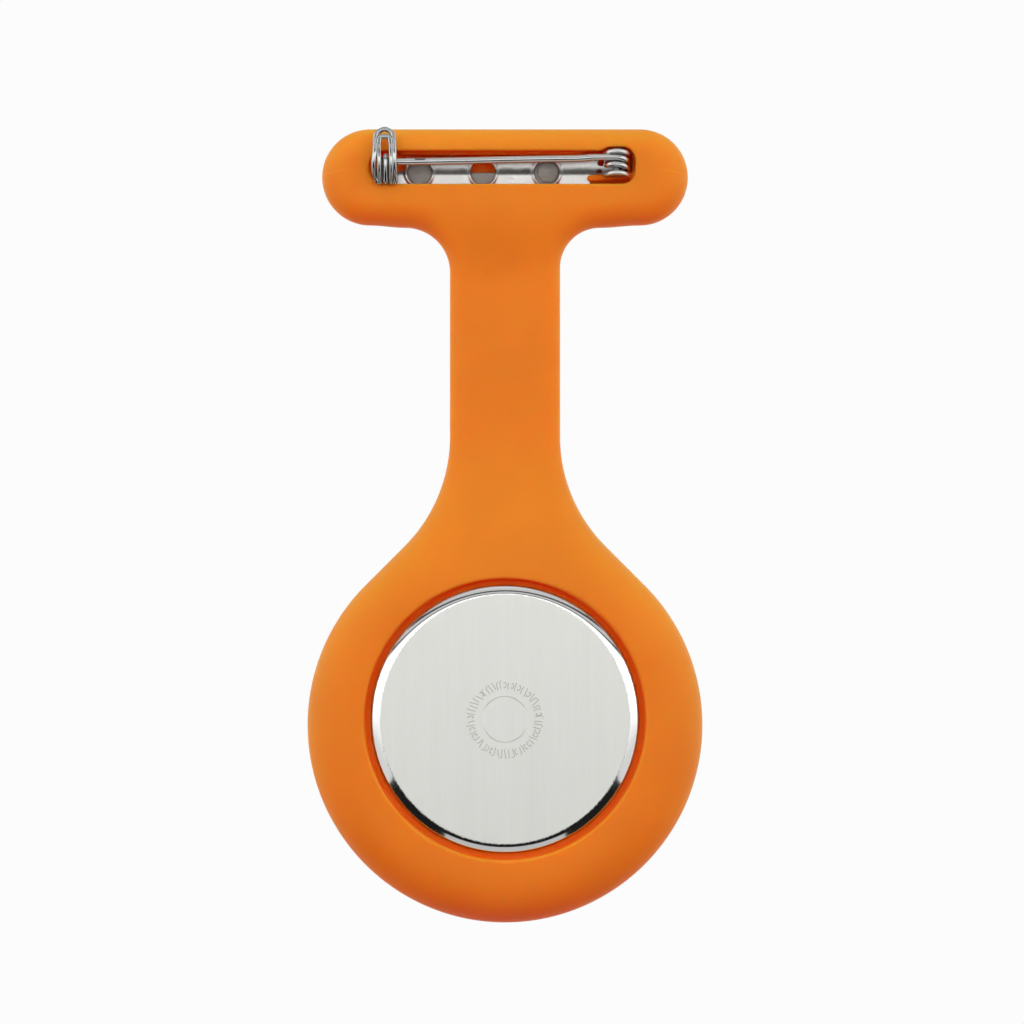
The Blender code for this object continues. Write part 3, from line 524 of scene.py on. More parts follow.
# --- materials ---
def nodes_of(name, color, roughness, metallic=0.0, **sockets):
    """A new material with its shader's constant values set, and its node tree."""
    material = bpy.data.materials.new(f"{name}_look")
    material.use_nodes = True
    shader = material.node_tree.nodes["Principled BSDF"]
    sockets.update(Base_Color=(*color, 1), Roughness=roughness, Metallic=metallic)
    for socket, value in sockets.items():
        shader.inputs[socket.replace("_", " ")].default_value = value
    return material, material.node_tree


class Value:
    """A number in a node tree. What's computed from it is a node as well."""

    def __init__(self, tree, socket):
        self.tree, self.socket = tree, socket

    def node(self, kind, target, **settings):
        """A new node of a kind with this value on one of its inputs."""
        node = self.tree.nodes.new(f"ShaderNode{kind}")
        for setting, value in settings.items():
            setattr(node, setting, value)
        self.tree.links.new(self.socket, node.inputs[target])
        return node

    def computed(self, operation, other=None):
        node = self.node("Math", 0, operation=operation)
        if isinstance(other, Value):
            self.tree.links.new(other.socket, node.inputs[1])
        elif other is not None:
            node.inputs[1].default_value = other
        return Value(self.tree, node.outputs[0])

    def __add__(self, other):
        return self.computed("ADD", other)

    def __sub__(self, other):
        return self.computed("SUBTRACT", other)

    def __mul__(self, other):
        return self.computed("MULTIPLY", other)

    def rest(self):
        """One less this value."""
        node = self.node("Math", 1, operation="SUBTRACT")
        node.inputs[0].default_value = 1.0
        return Value(self.tree, node.outputs[0])

    def off(self, middle=0.0):
        """How far this value is from a middle."""
        return (self + -middle if middle else self).computed("ABSOLUTE")

    def ranged(self, low, high, out_low=0.0, out_high=1.0, kind="LINEAR"):
        """This value stretched from one range to another, and held at its ends."""
        node = self.node("MapRange", "Value", interpolation_type=kind)
        for socket, number in (("From Min", low), ("From Max", high), ("To Min", out_low), ("To Max", out_high)):
            node.inputs[socket].default_value = number
        return Value(self.tree, node.outputs["Result"])

    def rising(self, low, high, start=0.0, end=1.0):
        return self.ranged(low, high, start, end, "SMOOTHSTEP")

    def falling(self, low, high):
        return self.rising(low, high, 1.0, 0.0)


def split(tree, vector):
    node = tree.nodes.new("ShaderNodeSeparateXYZ")
    tree.links.new(vector, node.inputs[0])
    return [Value(tree, output) for output in node.outputs]


def coordinates(tree, stretch=(1, 1, 1), offset=(0, 0, 0)):
    """Places on the object at rest, in metres, stretched."""
    place = tree.nodes.new("ShaderNodeTexCoord")
    mapping = tree.nodes.new("ShaderNodeMapping")
    mapping.inputs["Scale"].default_value = stretch
    mapping.inputs["Location"].default_value = offset
    tree.links.new(place.outputs["Object"], mapping.inputs["Vector"])
    return mapping.outputs["Vector"]


def noise(tree, size_mm, stretch=(1, 1, 1), detail=3.0, roughness=0.55, vector=None):
    """A noise with features of about this size."""
    node = tree.nodes.new("ShaderNodeTexNoise")
    node.inputs["Scale"].default_value = 1 / (size_mm * MM)
    node.inputs["Detail"].default_value = detail
    node.inputs["Roughness"].default_value = roughness
    tree.links.new(vector or coordinates(tree, stretch), node.inputs["Vector"])
    return Value(tree, node.outputs["Fac"])


def blended(share, first, last):
    """A colour between two, each a tuple or another node's colour."""
    node = share.node("Mix", "Factor", data_type="RGBA")
    for socket, color in ((node.inputs[6], first), (node.inputs[7], last)):
        if isinstance(color, tuple):
            socket.default_value = (*color, 1)
        else:
            share.tree.links.new(color, socket)
    return node.outputs[2]


def distance(first, second):
    return (first.computed("POWER", 2) + second.computed("POWER", 2)).computed("SQRT")


def varied(pattern, color, factors, reach=(0.35, 0.65)):
    """A colour that a pattern moves between two multiples of itself."""
    darker, lighter = (tuple(min(1.0, c * factor) for c in color) for factor in factors)
    return blended(pattern.ranged(*reach), darker, lighter)


def surfaced(material, color, roughness, height, depth_mm):
    """The material, with a colour, a roughness and a bump on its shader."""
    tree = material.node_tree
    shader = tree.nodes["Principled BSDF"]
    tree.links.new(color, shader.inputs["Base Color"])
    tree.links.new(roughness.socket, shader.inputs["Roughness"])
    bump = height.node("Bump", "Height")
    bump.inputs["Distance"].default_value = depth_mm * MM
    tree.links.new(bump.outputs["Normal"], shader.inputs["Normal"])
    return material


def grained(name, color, roughness, metallic, size, depth, tint=0.06, gloss=0.06, stretch=(1, 1, 1), **sockets):
    """A surface with a fine grain that shows in its tint, gloss and bump."""
    material, tree = nodes_of(name, color, roughness, metallic, **sockets)
    fine = noise(tree, size, stretch)
    broad = noise(tree, size * 14, detail=2)
    color = varied(fine * 0.5 + broad * 0.5, color, (1 - tint, 1 + tint))
    return surfaced(material, color, broad.ranged(0.3, 0.7, roughness - gloss, roughness + gloss), fine, depth)


SILICONE = (0.825, 0.316, 0.02)
# painted highlight: a paler silicone for the parting lines
SEAM_HIGHLIGHT_SILICONE = tuple(min(1.0, c * 1.25 + 0.02) for c in SILICONE)
# painted shade: a deeper red for the silicone in the mouth and the slot
PAINTED_SHADE_SILICONE = (1.0, 0.14, 0.004)
STEEL = (0.69, 0.695, 0.659)
POLISHED = (0.8, 0.8, 0.79)
NICKEL = (0.56, 0.56, 0.55)
PLATE = (0.58, 0.58, 0.56)
# painted shade: a dark nickel for the groove that the plate is bent at
GROOVE_SHADE = tuple(c * 0.22 for c in PLATE)
NICK = (0.015, 0.015, 0.015)
REST_PLACE = "rest_place"  # the jacket bends, so its pattern is laid out on where its points lie at rest
PARTING_X, PARTING_Z, PARTING_SLOPE = 17.0 * MM, -1.08 * MM, 0.18
NICK_X, NICK_Z = 9.05 * MM, 0.03 * MM


def silicone_look():
    """Satin silicone: soft light inside it, a fine matt skin, the mould's faint parting lines on the bar's ends with a
    painted highlight along them, and painted shade in the mouth round the head and in the fitting's slot.
    """
    material, tree = nodes_of(
        "silicone", SILICONE, 0.52, Specular_IOR_Level=0.2, Subsurface_Weight=1.0,
        Subsurface_Radius=(1.0, 0.2, 0.05), Subsurface_Scale=1.8 * MM, IOR=1.41,
    )
    rest = tree.nodes.new("ShaderNodeAttribute")
    rest.attribute_name = REST_PLACE
    vector = rest.outputs["Vector"]
    cloudy = noise(tree, 9.0, detail=2, vector=vector)
    skin = noise(tree, 0.09, detail=2, vector=vector)
    x, y, z = split(tree, vector)
    across = x.off()
    at_line = (z + (across - PARTING_X) * PARTING_SLOPE).off(PARTING_Z).falling(0.0, 0.00013)
    seam_and_highlight = at_line * across.rising(0.0163, 0.0172) * y.rising(-0.0034, -0.003)
    color = varied(cloudy, SILICONE, (0.975, 1.025))
    # painted highlight: the parting lines are tinted paler as well as raised by the bump
    color = blended(seam_and_highlight.ranged(0, 1, 0, 0.3), color, SEAM_HIGHLIGHT_SILICONE)
    radius = distance(x, z + -HEAD_Z * MM)
    # painted shade: a deeper red in the mouth round the head and along the slot's walls
    mouth_shade = radius.falling(MOUTH_RADIUS * MM - 0.00005, MOUTH_RADIUS * MM + 0.00005) * y.ranged(0.0, 0.0003)
    slot_shade = y.falling(MM * (UPPER_HIGH.y - 0.55), MM * (UPPER_HIGH.y - 0.35)) * y.ranged(-0.0042, -0.004)
    for value, (low, high) in ((x, SLOT_X), (z, (SLOT_Z[0], EAR_ROOM))):
        half = MM * (high - low) / 2
        slot_shade = slot_shade * value.off(MM * (low + high) / 2).falling(half, half + 0.0001)
    color = blended(mouth_shade.computed("MAXIMUM", slot_shade * 0.65), color, PAINTED_SHADE_SILICONE)
    return surfaced(material, color, cloudy.ranged(0.3, 0.7, 0.48, 0.56), skin + seam_and_highlight * 4.0, 0.006)


def case_back_look():
    """Upright brushed steel inside a polished rim. The brush strokes run out a little way over the rim."""
    material, tree = nodes_of("case_back_steel", STEEL, 0.36, 1.0)
    strokes = noise(tree, 0.07, (1, 1, 0.012), 4, 0.7)
    smears = noise(tree, 1.3, (1, 1, 0.05), 2)
    x, _, z = split(tree, coordinates(tree, offset=(0, 0, -HEAD_Z * MM)))
    uneven = distance(x, z) + strokes.ranged(0.35, 0.65, -0.00012, 0.00012)
    polished = uneven.rising(BACK_FLAT * MM, (BACK_FLAT + 0.09) * MM)
    color = varied(strokes * 0.6 + smears * 0.4, STEEL, (0.975, 1.02), (0.38, 0.62))
    color = blended(polished, color, POLISHED)
    return surfaced(material, color, polished.ranged(0, 1, 0.36, 0.07), strokes * polished.rest(), 0.004)


def plate_look():
    """Satin nickel plate, with painted shade darkening it along the groove that it's bent at."""
    material, tree = nodes_of("plate_steel", PLATE, 0.3, 1.0)
    fine = noise(tree, 0.1, (0.5, 1, 1))
    broad = noise(tree, 1.4, detail=2)
    _, y, z = split(tree, coordinates(tree))
    wavy = z + broad.ranged(0.3, 0.7, -0.00012, 0.00012)
    # painted shade along the bend
    groove = wavy.falling(-0.0012, -0.00055) * z.rising(-0.00165, -0.00138)
    groove = groove * y.ranged(-0.002, -0.0019, 1.0, 0.0) * fine.ranged(0.3, 0.7, 0.8, 1.0)
    color = blended(groove, varied(fine, PLATE, (0.94, 1.05)), GROOVE_SHADE)
    return surfaced(material, color, broad.ranged(0.3, 0.7, 0.26, 0.36), fine, 0.008)


def needle_look():
    """Bright nickel wire with one dark nick near its point."""
    material, tree = nodes_of("needle_steel", NICKEL, 0.15, 1.0)
    x, y, z = split(tree, coordinates(tree))
    nick = x.off(NICK_X).ranged(0.00052, 0.00058, 1.0, 0.0) * z.off(NICK_Z).ranged(0.00005, 0.00008, 1.0, 0.0)
    drawn = noise(tree, 0.05, (0.03, 1, 1), 2)
    color = blended(nick * y.ranged(0.0001, 0.00015), varied(drawn, NICKEL, (0.93, 1.04)), NICK)
    return surfaced(material, color, drawn.ranged(0.3, 0.7, 0.1, 0.2), drawn, 0.002)


GRAINS = {  # colour, roughness, metal, size and depth of the grain, and then tint, gloss and stretch
    "wire_steel": ((0.47, 0.48, 0.47), 0.12, 1.0, 0.15, 0.004, 0.05, 0.04),
    "strip_steel": ((0.27, 0.26, 0.24), 0.5, 1.0, 0.08, 0.008, 0.1, 0.08),
    # painted shade: near-black steel for the catch's leaf, which shows in the gaps beside its rib
    "dark_steel": ((0.07, 0.068, 0.062), 0.45, 1.0, 0.08, 0.006, 0.15),
    "mark_steel": ((0.34, 0.34, 0.31), 0.45, 1.0, 0.1, 0.003),
    "case_steel": ((0.62, 0.62, 0.6), 0.25, 1.0, 0.2, 0.003, 0.06, 0.06, (1, 0.1, 1)),
    "polished_steel": ((0.86, 0.86, 0.85), 0.07, 1.0, 0.4, 0.0008, 0.02, 0.02),
    "gasket_rubber": ((0.02, 0.02, 0.021), 0.6, 0.0, 0.08, 0.006, 0.2),
    "dial_white": ((0.86, 0.86, 0.84), 0.38, 0.0, 0.06, 0.002, 0.02),
    "hand_black": ((0.012, 0.012, 0.014), 0.3, 0.0, 0.08, 0.003, 0.3),
    "hand_red": ((0.62, 0.02, 0.015), 0.32, 0.0, 0.08, 0.003, 0.08),
    "movement_steel": ((0.58, 0.58, 0.57), 0.3, 1.0, 0.15, 0.004, 0.06, 0.06, (0.1, 1, 1)),
    "movement_brass": ((0.8, 0.57, 0.22), 0.28, 1.0, 0.14, 0.004, 0.06, 0.06, (1, 1, 0.1)),
    "coil_copper": ((0.75, 0.27, 0.12), 0.25, 1.0, 0.06, 0.02, 0.15, 0.06, (1, 1, 12)),
    "magnet": ((0.09, 0.09, 0.1), 0.4, 0.8, 0.05, 0.004, 0.25),
    "movement_plastic": ((0.62, 0.6, 0.55), 0.45, 0.0, 0.2, 0.006),
    "board_green": ((0.015, 0.11, 0.05), 0.35, 0.0, 0.25, 0.006, 0.25),
    "blob_black": ((0.012, 0.012, 0.012), 0.35, 0.0, 0.3, 0.01, 0.3),
}
LOOKS = {name: grained(name, *values) for name, values in GRAINS.items()}
LOOKS.update(
    silicone=silicone_look(), back_steel=case_back_look(), needle_steel=needle_look(), plate_steel=plate_look(),
    crystal_glass=grained("crystal_glass", (1, 1, 1), 0.02, 0, 0.5, 0.0003, 0.01, 0.01, Transmission_Weight=1, IOR=1.5),
)


# --- silicone jacket ---
def make_jacket():
    points, faces, slope = field_shape(jacket_field, jacket_axes())
    jacket = piece("jacket", [(points, faces)], "silicone", None, sharp=180)
    jacket.data.normals_split_custom_set_from_vertices(slope.tolist())
    rest = jacket.data.attributes.new(REST_PLACE, "FLOAT_VECTOR", "POINT")
    rest.data.foreach_set("vector", (np.asarray(points, np.float32) * MM).ravel())
    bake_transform(jacket)
    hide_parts("jacket_upper", "jacket_lower")


# --- brooch fitting ---
PLATE_HOLES = ((9.16, -1.23), (2.36, -1.23), (-4.47, -1.23))
PLATE_HOLE_RADIUS = 1.3
CLASP_X = (HOOK_LOW.x + HOOK_HIGH.x) / 2
PLATE_NOTCHES = ((-10.3, -0.19, 0.33), (-10.1, -1.25, 0.24))  # X, Z and radius
PLATE_Y = -2.48
PLATE_HALF_THICKNESS = 0.22
PLATE_STEP = 0.13
PLATE_EDGE = 0.12
EARS = ((0.8, 0.24), (-1.49, 0.24))  # each one's height, and half its thickness


def plate_field(x, y, z):
    """Negative in the pressed plate: bent along a groove, with a rolled rim round each hole."""
    right = 11.9 - 1.3 * smoothstep(z, -1.35, -1.0)
    top = 0.45 + 0.87 * smoothstep(-x, 9.9, 11.2)
    low = -2.95 + 1.4 * smoothstep(-x, 9.0, 9.25)
    inside = np.minimum(np.minimum(right - x, x + 13.0), np.minimum(top - z, z - low))
    for notch_x, notch_z, radius in PLATE_NOTCHES:
        inside = np.minimum(inside, np.hypot(x - notch_x, z - notch_z) - radius)
    step = PLATE_STEP * smoothstep(np.clip((-0.2 - z) / 1.4, 0, 1) ** 1.6, 0, 1)
    rim = 0
    hole = np.full(np.shape(x), np.inf)
    for hole_x, hole_z in PLATE_HOLES:
        outside = np.hypot(x - hole_x, z - hole_z) - PLATE_HOLE_RADIUS
        rim = rim + 0.1 * np.exp(-(((outside - 0.2) / 0.15) ** 2))
        hole = np.minimum(hole, outside)
    across = y - PLATE_Y + step
    thick = np.maximum(across - PLATE_HALF_THICKNESS - rim, -PLATE_HALF_THICKNESS - across)
    return smooth_max(smooth_max(thick, -inside, PLATE_EDGE), -hole, PLATE_EDGE)


def bowed(shape):
    """The shape with its middle lifted and its sides dropped, as the hinge's ears and coil are."""
    points, faces = shape
    points = np.array(points, float)
    share = (points[:, 0] - NEEDLE_PIVOT.x) / 1.3
    points[:, 2] += 0.12 - 0.22 * np.minimum(share**2, 1.2)
    return points, faces


def make_base_plate():
    axes = (np.arange(-13.4, 12.3, 0.11), np.arange(-3.3, -1.9, 0.07), np.arange(-3.3, 1.7, 0.11))
    points, faces, slope = field_shape(plate_field, axes)
    shapes = [(points, faces)]
    hub = (NEEDLE_PIVOT.x, NEEDLE_PIVOT.y)
    ear = [(hub[0] - 1.0, -2.6), (hub[0] + 1.0, -2.6), *arc(hub, 1.45, -15, 195, 48)]
    for z, half in EARS:
        shapes.append(bowed(slab(ear, (z - half, z + half), "Z", [circle(0.5, hub)], bevel=0.16)))
    scratch = [(x, -2.41, z) for x, z in arc((-0.63, -2.25), 0.42, 40, 152, 14)]
    shapes.append(swept(scratch, 0.035, 8))
    plate = piece("base_plate", shapes, "plate_steel", "brooch", ["pin_base_plate"], sharp=60)
    normals = np.zeros((len(plate.data.vertices), 3))
    normals[:len(slope)] = slope
    plate.data.normals_split_custom_set_from_vertices(normals.tolist())


def make_backing_strip():
    """The strip behind the plate: pads stand behind the outer holes, and one pad has a raised ring."""
    low, high = STRIP_LOW.z, STRIP_HIGH.z
    outline = [(-8.8, low), (11.4, low), (11.4, -1.25), (10.55, -1.25), (10.55, high), (7.2, high), (7.2, -1.25)]
    outline += [(-2.6, -1.25), (-2.6, high), (-6.4, high), (-6.4, -1.25), (-11.5, -1.25), (-11.5, -1.6), (-8.8, -1.6)]
    ring = circle(1.08, (PLATE_HOLES[2][0] - 0.12, PLATE_HOLES[2][1] + 0.02))
    shapes = [slab(softened(outline, 0.3), (STRIP_LOW.y, STRIP_HIGH.y), bevel=0.06)]
    shapes.append(swept([(x, STRIP_HIGH.y, z) for x, z in ring], 0.07, 10, closed=True))
    piece("backing_strip", shapes, "strip_steel", "brooch", ["pin_backing_strip"])


def make_needle():
    """One spring wire: a point, a straight run, a coil and a tail on the plate."""
    wire, run = 0.34, 0.37
    hub_x, hub_y = NEEDLE_PIVOT.x, NEEDLE_PIVOT.y
    straight = flowing([(13.95, 0, -0.18), (12.4, 0, -0.19), (10.5, 0, -0.2), (5, 0, -0.11), (0, 0, 0.01),
                        (-5, 0, 0.1), (-9.5, 0, 0.16)], 8)
    coil = []
    for turn in np.linspace(0, 1.5, 73):
        angle = math.radians(90 + 360 * turn)
        coil.append((hub_x + 1.11 * math.cos(angle), hub_y + math.sin(angle), 0.15 - 0.76 * turn))
    coil, _ = bowed((coil, ()))
    straight[:, 2] += np.interp(-straight[:, 0], [8.0, 9.5], [0, coil[0, 2] - straight[-1, 2]])
    path = np.concatenate([straight, coil])
    radii = np.interp(-path[:, 0], [-13.95, -12.9, -11.8, -10.5, 9.0, 11.0], [0.05, 0.22, 0.38, 0.4, run, wire])
    radii[len(straight):] = wire
    piece("needle", [swept(path, radii, 24)], "needle_steel", "needle", ["pin_needle"], sharp=60)


def make_rivet():
    profile = [(0, 1.3), (0.45, 1.28), (0.58, 1.2), (0.58, 1.13), (0.42, 1.13), (0.42, -1.58)]
    profile += [(0.66, -1.58), (0.66, -1.66), (0.5, -1.8), (0, -1.82)]
    shape = revolved(softened(profile, 0.05, closed=False), (NEEDLE_PIVOT.x, NEEDLE_PIVOT.y, 0), "Z", 40)
    piece("hinge_rivet_head", [shape], "strip_steel", "brooch", ["hinge_rivet"])


def make_hook():
    """The catch: a leaf that curls over the needle, with a thick rib pressed up its middle."""
    y, z = BAIL_PIVOT.y, BAIL_PIVOT.z
    heel = arc((y, z), 0.45, -90, -10, 8)
    back = [(0.88, -1.4), (1.0, -0.6), (0.98, 0.1), (0.82, 0.5), (0.56, 0.66), (0.4, 0.52)]
    front = [(0.5, 0.1), (0.5, -0.6), (0.38, -1.25), (0.1, -1.62), (-0.4, -1.75), (-2.3, -1.8)]
    rib = softened([(-2.3, -2.62), (-0.4, -2.62), *heel, *back, *front], 0.25)
    leaf = [(-2.3, -2.5), (-0.4, -2.5), *arc((y, z), 0.2, -90, -10, 8), (0.3, -1.4), (0.38, -0.6), (0.38, 0.05)]
    leaf = softened([*leaf, (0.3, 0.3), (0.12, 0.3), (0.1, -0.6), (0.0, -1.25), (-0.2, -1.5), *front[-2:]], 0.12)
    leaf, rib = (slab(outline, half, "X", bevel=bevel, centre=(CLASP_X, 0, 0))
                 for outline, half, bevel in ((leaf, (-0.8, 0.8), 0.12), (rib, (-0.34, 0.16), 0.2)))
    # painted shade: the leaf is near-black steel, for the shade in the gaps beside the rib
    piece("catch_leaf", [leaf], "dark_steel", "brooch", ["catch_hook"])
    piece("catch_rib", [rib], "wire_steel", "brooch")


def make_bail():
    """The safety wire: an outer loop through the hook's heel, and inside it a narrow loop with a crossbar."""
    y, z = BAIL_PIVOT.y, BAIL_PIVOT.z
    wire, half, top = 0.275, 1.04, 5.42
    left = [(-0.34, 0, -0.2), (-0.04, 0.16, 0.3), (0.1, 0.62, 1.1), (0.12, 0.9, 1.9)]
    left += [(0.02, 0.92, 2.9), (-0.02, 0.72, 3.7), (-0.04, 0.45, 4.4), (-0.2, 0.32, 5.0), (-0.62, 0.26, top - 0.14)]
    right = [(0.1, 0, -0.2), (0.08, 0.3, 0.5), (0.04, 0.7, 1.2), (0.02, 0.9, 2.0)]
    right += [(0, 0.9, 2.9), (-0.02, 0.7, 3.7), (-0.06, 0.45, 4.4), (-0.24, 0.32, 5.0), (-0.62, 0.26, top - 0.14)]
    loop = [(half + out, depth, height) for out, depth, height in left] + [(0, 0.25, top)]
    loop += [(-half - out, depth, height) for out, depth, height in reversed(right)]
    loop += [(-0.75, -0.4, -0.25), (-0.2, -0.55, -0.1), (0.3, -0.4, -0.15)]
    outer = flowing(np.array(loop) + (CLASP_X, y, z), 7, closed=True)
    inner = [(0.48, 0.02, -0.2), (0.54, 0.45, 0.35), (0.58, 0.86, 1.2), (0.58, 1.0, 2.2), (0.6, 0.85, 3.2)]
    inner += [(0.6, 0.6, 4.1), (0.52, 0.49, 4.5), (0.25, 0.47, 4.62), (-0.25, 0.47, 4.62), (-0.52, 0.49, 4.5)]
    inner += [(-0.6, 0.6, 4.1), (-0.64, 0.85, 3.2), (-0.68, 1.0, 2.2), (-0.7, 0.86, 1.2), (-0.68, 0.45, 0.35)]
    inner.append((-0.64, 0.02, -0.2))
    narrow = flowing(np.array(inner) + (CLASP_X, y, z), 7)
    thick = 0.24 + 0.05 * smoothstep(narrow[:, 2] - z, 3.7, 4.3)
    shapes = [swept(outer, wire, 18, closed=True), swept(narrow, thick, 18)]
    piece("safety_wire", shapes, "wire_steel", "bail", ["safety_bail"])


# --- watch head ---
def turned(name, profile, look, slot, node, rounding=0.06, closed=True):
    shape = revolved(softened(profile, rounding, closed, steps=3), (0, 0, HEAD_Z))
    return piece(name, [shape], look, "watch", [node])


STROKES = 58
STROKE_RADIUS = 0.037


def back_strokes():
    """A ring of small marks, which say nothing, round the middle of the case back."""
    draws = np.random.default_rng(7)
    shapes = []
    for i in range(STROKES):
        turn = 2 * math.pi * (i + draws.uniform(-0.15, 0.15)) / STROKES
        kind = draws.integers(4)
        width = draws.uniform(0.045, 0.07)
        low, high = draws.uniform(3.15, 3.35), draws.uniform(3.9, 4.2)
        middle = (low + high) / 2
        places = (  # how far each point is turned on from the stroke's own place, and its radius
            [(0, low), (0.01, middle), (0, high)],
            [(-width / 2, low), (0, middle), (width / 2, high)],
            [(width * 0.6 * math.cos(a), 3.65 + 0.3 * math.sin(a)) for a in np.linspace(0.6, 5.7, 10)],
            [(-width / 2, high), (width / 2, high - 0.1), (width / 3, low)],
        )[kind]
        path = [(radius * math.sin(turn + more), BACK_HIGH.y - 0.012, HEAD_Z + radius * math.cos(turn + more))
                for more, radius in places]
        shapes.append(swept(path, STROKE_RADIUS, 6))
    return shapes


def make_case():
    rim, y = BACK_HIGH.x, BACK_HIGH.y
    angles = np.radians(np.arange(7, 27, 1.5))
    radii = BACK_FLAT + (rim - 0.02 - BACK_FLAT) * np.linspace(0, 1, len(angles))
    drops = np.concatenate([[0], np.cumsum(np.diff(radii) * np.tan((angles[1:] + angles[:-1]) / 2))])
    edge = [(radius, y - drop) for radius, drop in zip(radii, drops)]
    edge += [(rim - 0.008, edge[-1][1] - 0.03), (rim, edge[-1][1] - 0.08)]
    back = [(0, y), (2.34, y), (2.4, y), (2.44, y - 0.02), (2.48, y), (2.54, y), (8, y), (BACK_FLAT - 0.05, y)]
    back += [*edge, (rim, BACK_LOW.y), (13.45, BACK_LOW.y), (13.45, 0.9), (0, 0.9)]
    shape = revolved(back, (0, 0, HEAD_Z), steps=256)
    piece("back_cover", [shape], "back_steel", "watch", ["case_back"], sharp=5)
    piece("back_strokes", back_strokes(), "mark_steel", "watch")
    outer = BEZEL_HIGH.x
    ring = [(13.9, -6.1), (outer, -6.1), (outer, -6.75), (15.3, -7.25), (14.3, BEZEL_LOW.y), (13.9, -7.25)]
    turned("bezel_ring", ring, "polished_steel", "polished_steel", "bezel", 0.25)
    lens = [(0, -6.1), (CRYSTAL_HIGH.x, -6.1), (CRYSTAL_HIGH.x, -7.0), (13.3, CRYSTAL_LOW.y), (0, CRYSTAL_LOW.y)]
    glass = turned("crystal_lens", lens, "crystal_glass", "crystal_glass", "crystal", 0.12, closed=False)
    glass.visible_diffuse = glass.visible_shadow = False
    seat = [(13.55, -6.1), (13.85, -6.1), (13.85, -7.05), (13.55, -7.05)]
    turned("crystal_seal", seat, "gasket_rubber", "gasket_rubber", "crystal_gasket")
    rehaut = [(11.9, -4.35), (12.8, -4.35), (12.8, -5.95), (12.45, -5.95)]
    turned("flange", rehaut, "case_steel", "polished_steel", "dial_ring")


# --- dial and hands ---
HAND_TIME = (10, 9, 35)
TICK_END = 11.75
HOUR_TICK = (10.9, 0.13)  # where it starts, and half its width
MINUTE_TICK = (11.3, 0.045)
NUMERALS = ((0, 3.1, 9.1), (12, 1.15, 6.5))  # hours added, size and radius


def on_dial(angle, radius):
    """A place on the dial. The angle is clockwise from twelve, which is at the bottom."""
    a = math.radians(angle)
    return -radius * math.sin(a), HEAD_Z - radius * math.cos(a)


def make_dial():
    rear, face = DIAL_HIGH.y, DIAL_LOW.y
    plate = slab(circle(12.8, steps=160), (face, rear), holes=[circle(0.85)], bevel=0.05, centre=(0, 0, HEAD_Z))
    piece("dial_plate", [plate], "dial_white", "watch", ["dial"])
    print_y = (face - 0.02, face + 0.01)
    shapes = []
    for minute in range(60):
        start, half = MINUTE_TICK if minute % 5 else HOUR_TICK
        a = math.radians(6 * minute)
        corners = []
        for radius, sides in ((start, (half, -half)), (TICK_END, (-half, half))):
            x, z = on_dial(6 * minute, radius)
            corners += [(x + side * math.cos(a), z - side * math.sin(a)) for side in sides]
        shapes.append(slab(corners, print_y, bevel=0.005))
    for hour in range(1, 13):
        for more, size, radius in NUMERALS:
            shapes.append(lettering(str(hour + more), size, on_dial(30 * hour, radius), print_y))
    piece("dial_print", shapes, "hand_black", "watch")


def make_hand(name, node, body, angle, half_outline, hole, look):
    """A hand from half its outline, as widths and places along it, turned to an angle."""
    low, high = span(node)
    a = math.radians(angle)
    across, ahead = (-math.cos(a), math.sin(a)), (-math.sin(a), -math.cos(a))
    both = half_outline + [(-w, d) for w, d in reversed(half_outline) if w]
    outline = softened([(w * across[0] + d * ahead[0], w * across[1] + d * ahead[1]) for w, d in both], 0.2)
    shape = slab(outline, (low.y, high.y), holes=[circle(hole, steps=32)], bevel=0.05, centre=(0, 0, HEAD_Z))
    piece(name, [shape], look, body, [node])


def make_hands():
    hour, minute, second = HAND_TIME
    second_angle = 6 * second
    minute_angle = 6 * minute + second_angle / 60
    hour_angle = 30 * hour + minute_angle / 12
    baton = [(0.5, -2.2), (0.95, -0.9), (1.2, 0.0), (0.95, 0.9), (0.5, 1.6), (0.62, 6.4), (0, 7.2)]
    make_hand("hour_pointer", "hour_hand", "hour", hour_angle, baton, 0.74, "hand_black")
    baton = [(0.4, -2.6), (0.6, -0.7), (0.8, 0.0), (0.6, 0.7), (0.4, 1.4), (0.48, 10.0), (0, 10.8)]
    make_hand("minute_pointer", "minute_hand", "centre", minute_angle, baton, 0.39, "hand_black")
    thin = [(0.3, -3.6), (0.3, -1.9), (0.09, -1.7), (0.35, -0.35), (0.48, 0.0), (0.35, 0.35), (0.09, 0.6)]
    thin += [(0.05, 11.2), (0, 11.3)]
    make_hand("second_pointer", "second_hand", "seconds", second_angle, thin, 0.15, "hand_red")


# --- CAD nodes that keep their own shape ---
def finish_nodes():
    finishes = {**LOOKS, "fitting_steel": LOOKS["wire_steel"]}
    for node in frame["nodes"].values():
        for slot in node.material_slots:
            slot.material = finishes[slot.material.name]


# --- studio and camera ---
STUDIO_RADIUS = 1.1  # metres here, as everywhere in the studio
STUDIO_CURVE = 0.25
FLOOR_Z = -0.3
WALL_LIGHT = 0.973
NEAR_WALL_LIGHT = (0.85, 1.75)  # at its foot, and above the object
CEILING_LIGHT = 0.5
FLOOR_LIGHT = 0.8
BOUNCE = (0.5, 0.02, 0.02)
VIEW_CENTRE = (-0.00075, -0.0376)
VIEW_WIDTH = 0.1097
LENS = 250.0
SENSOR = 36.0


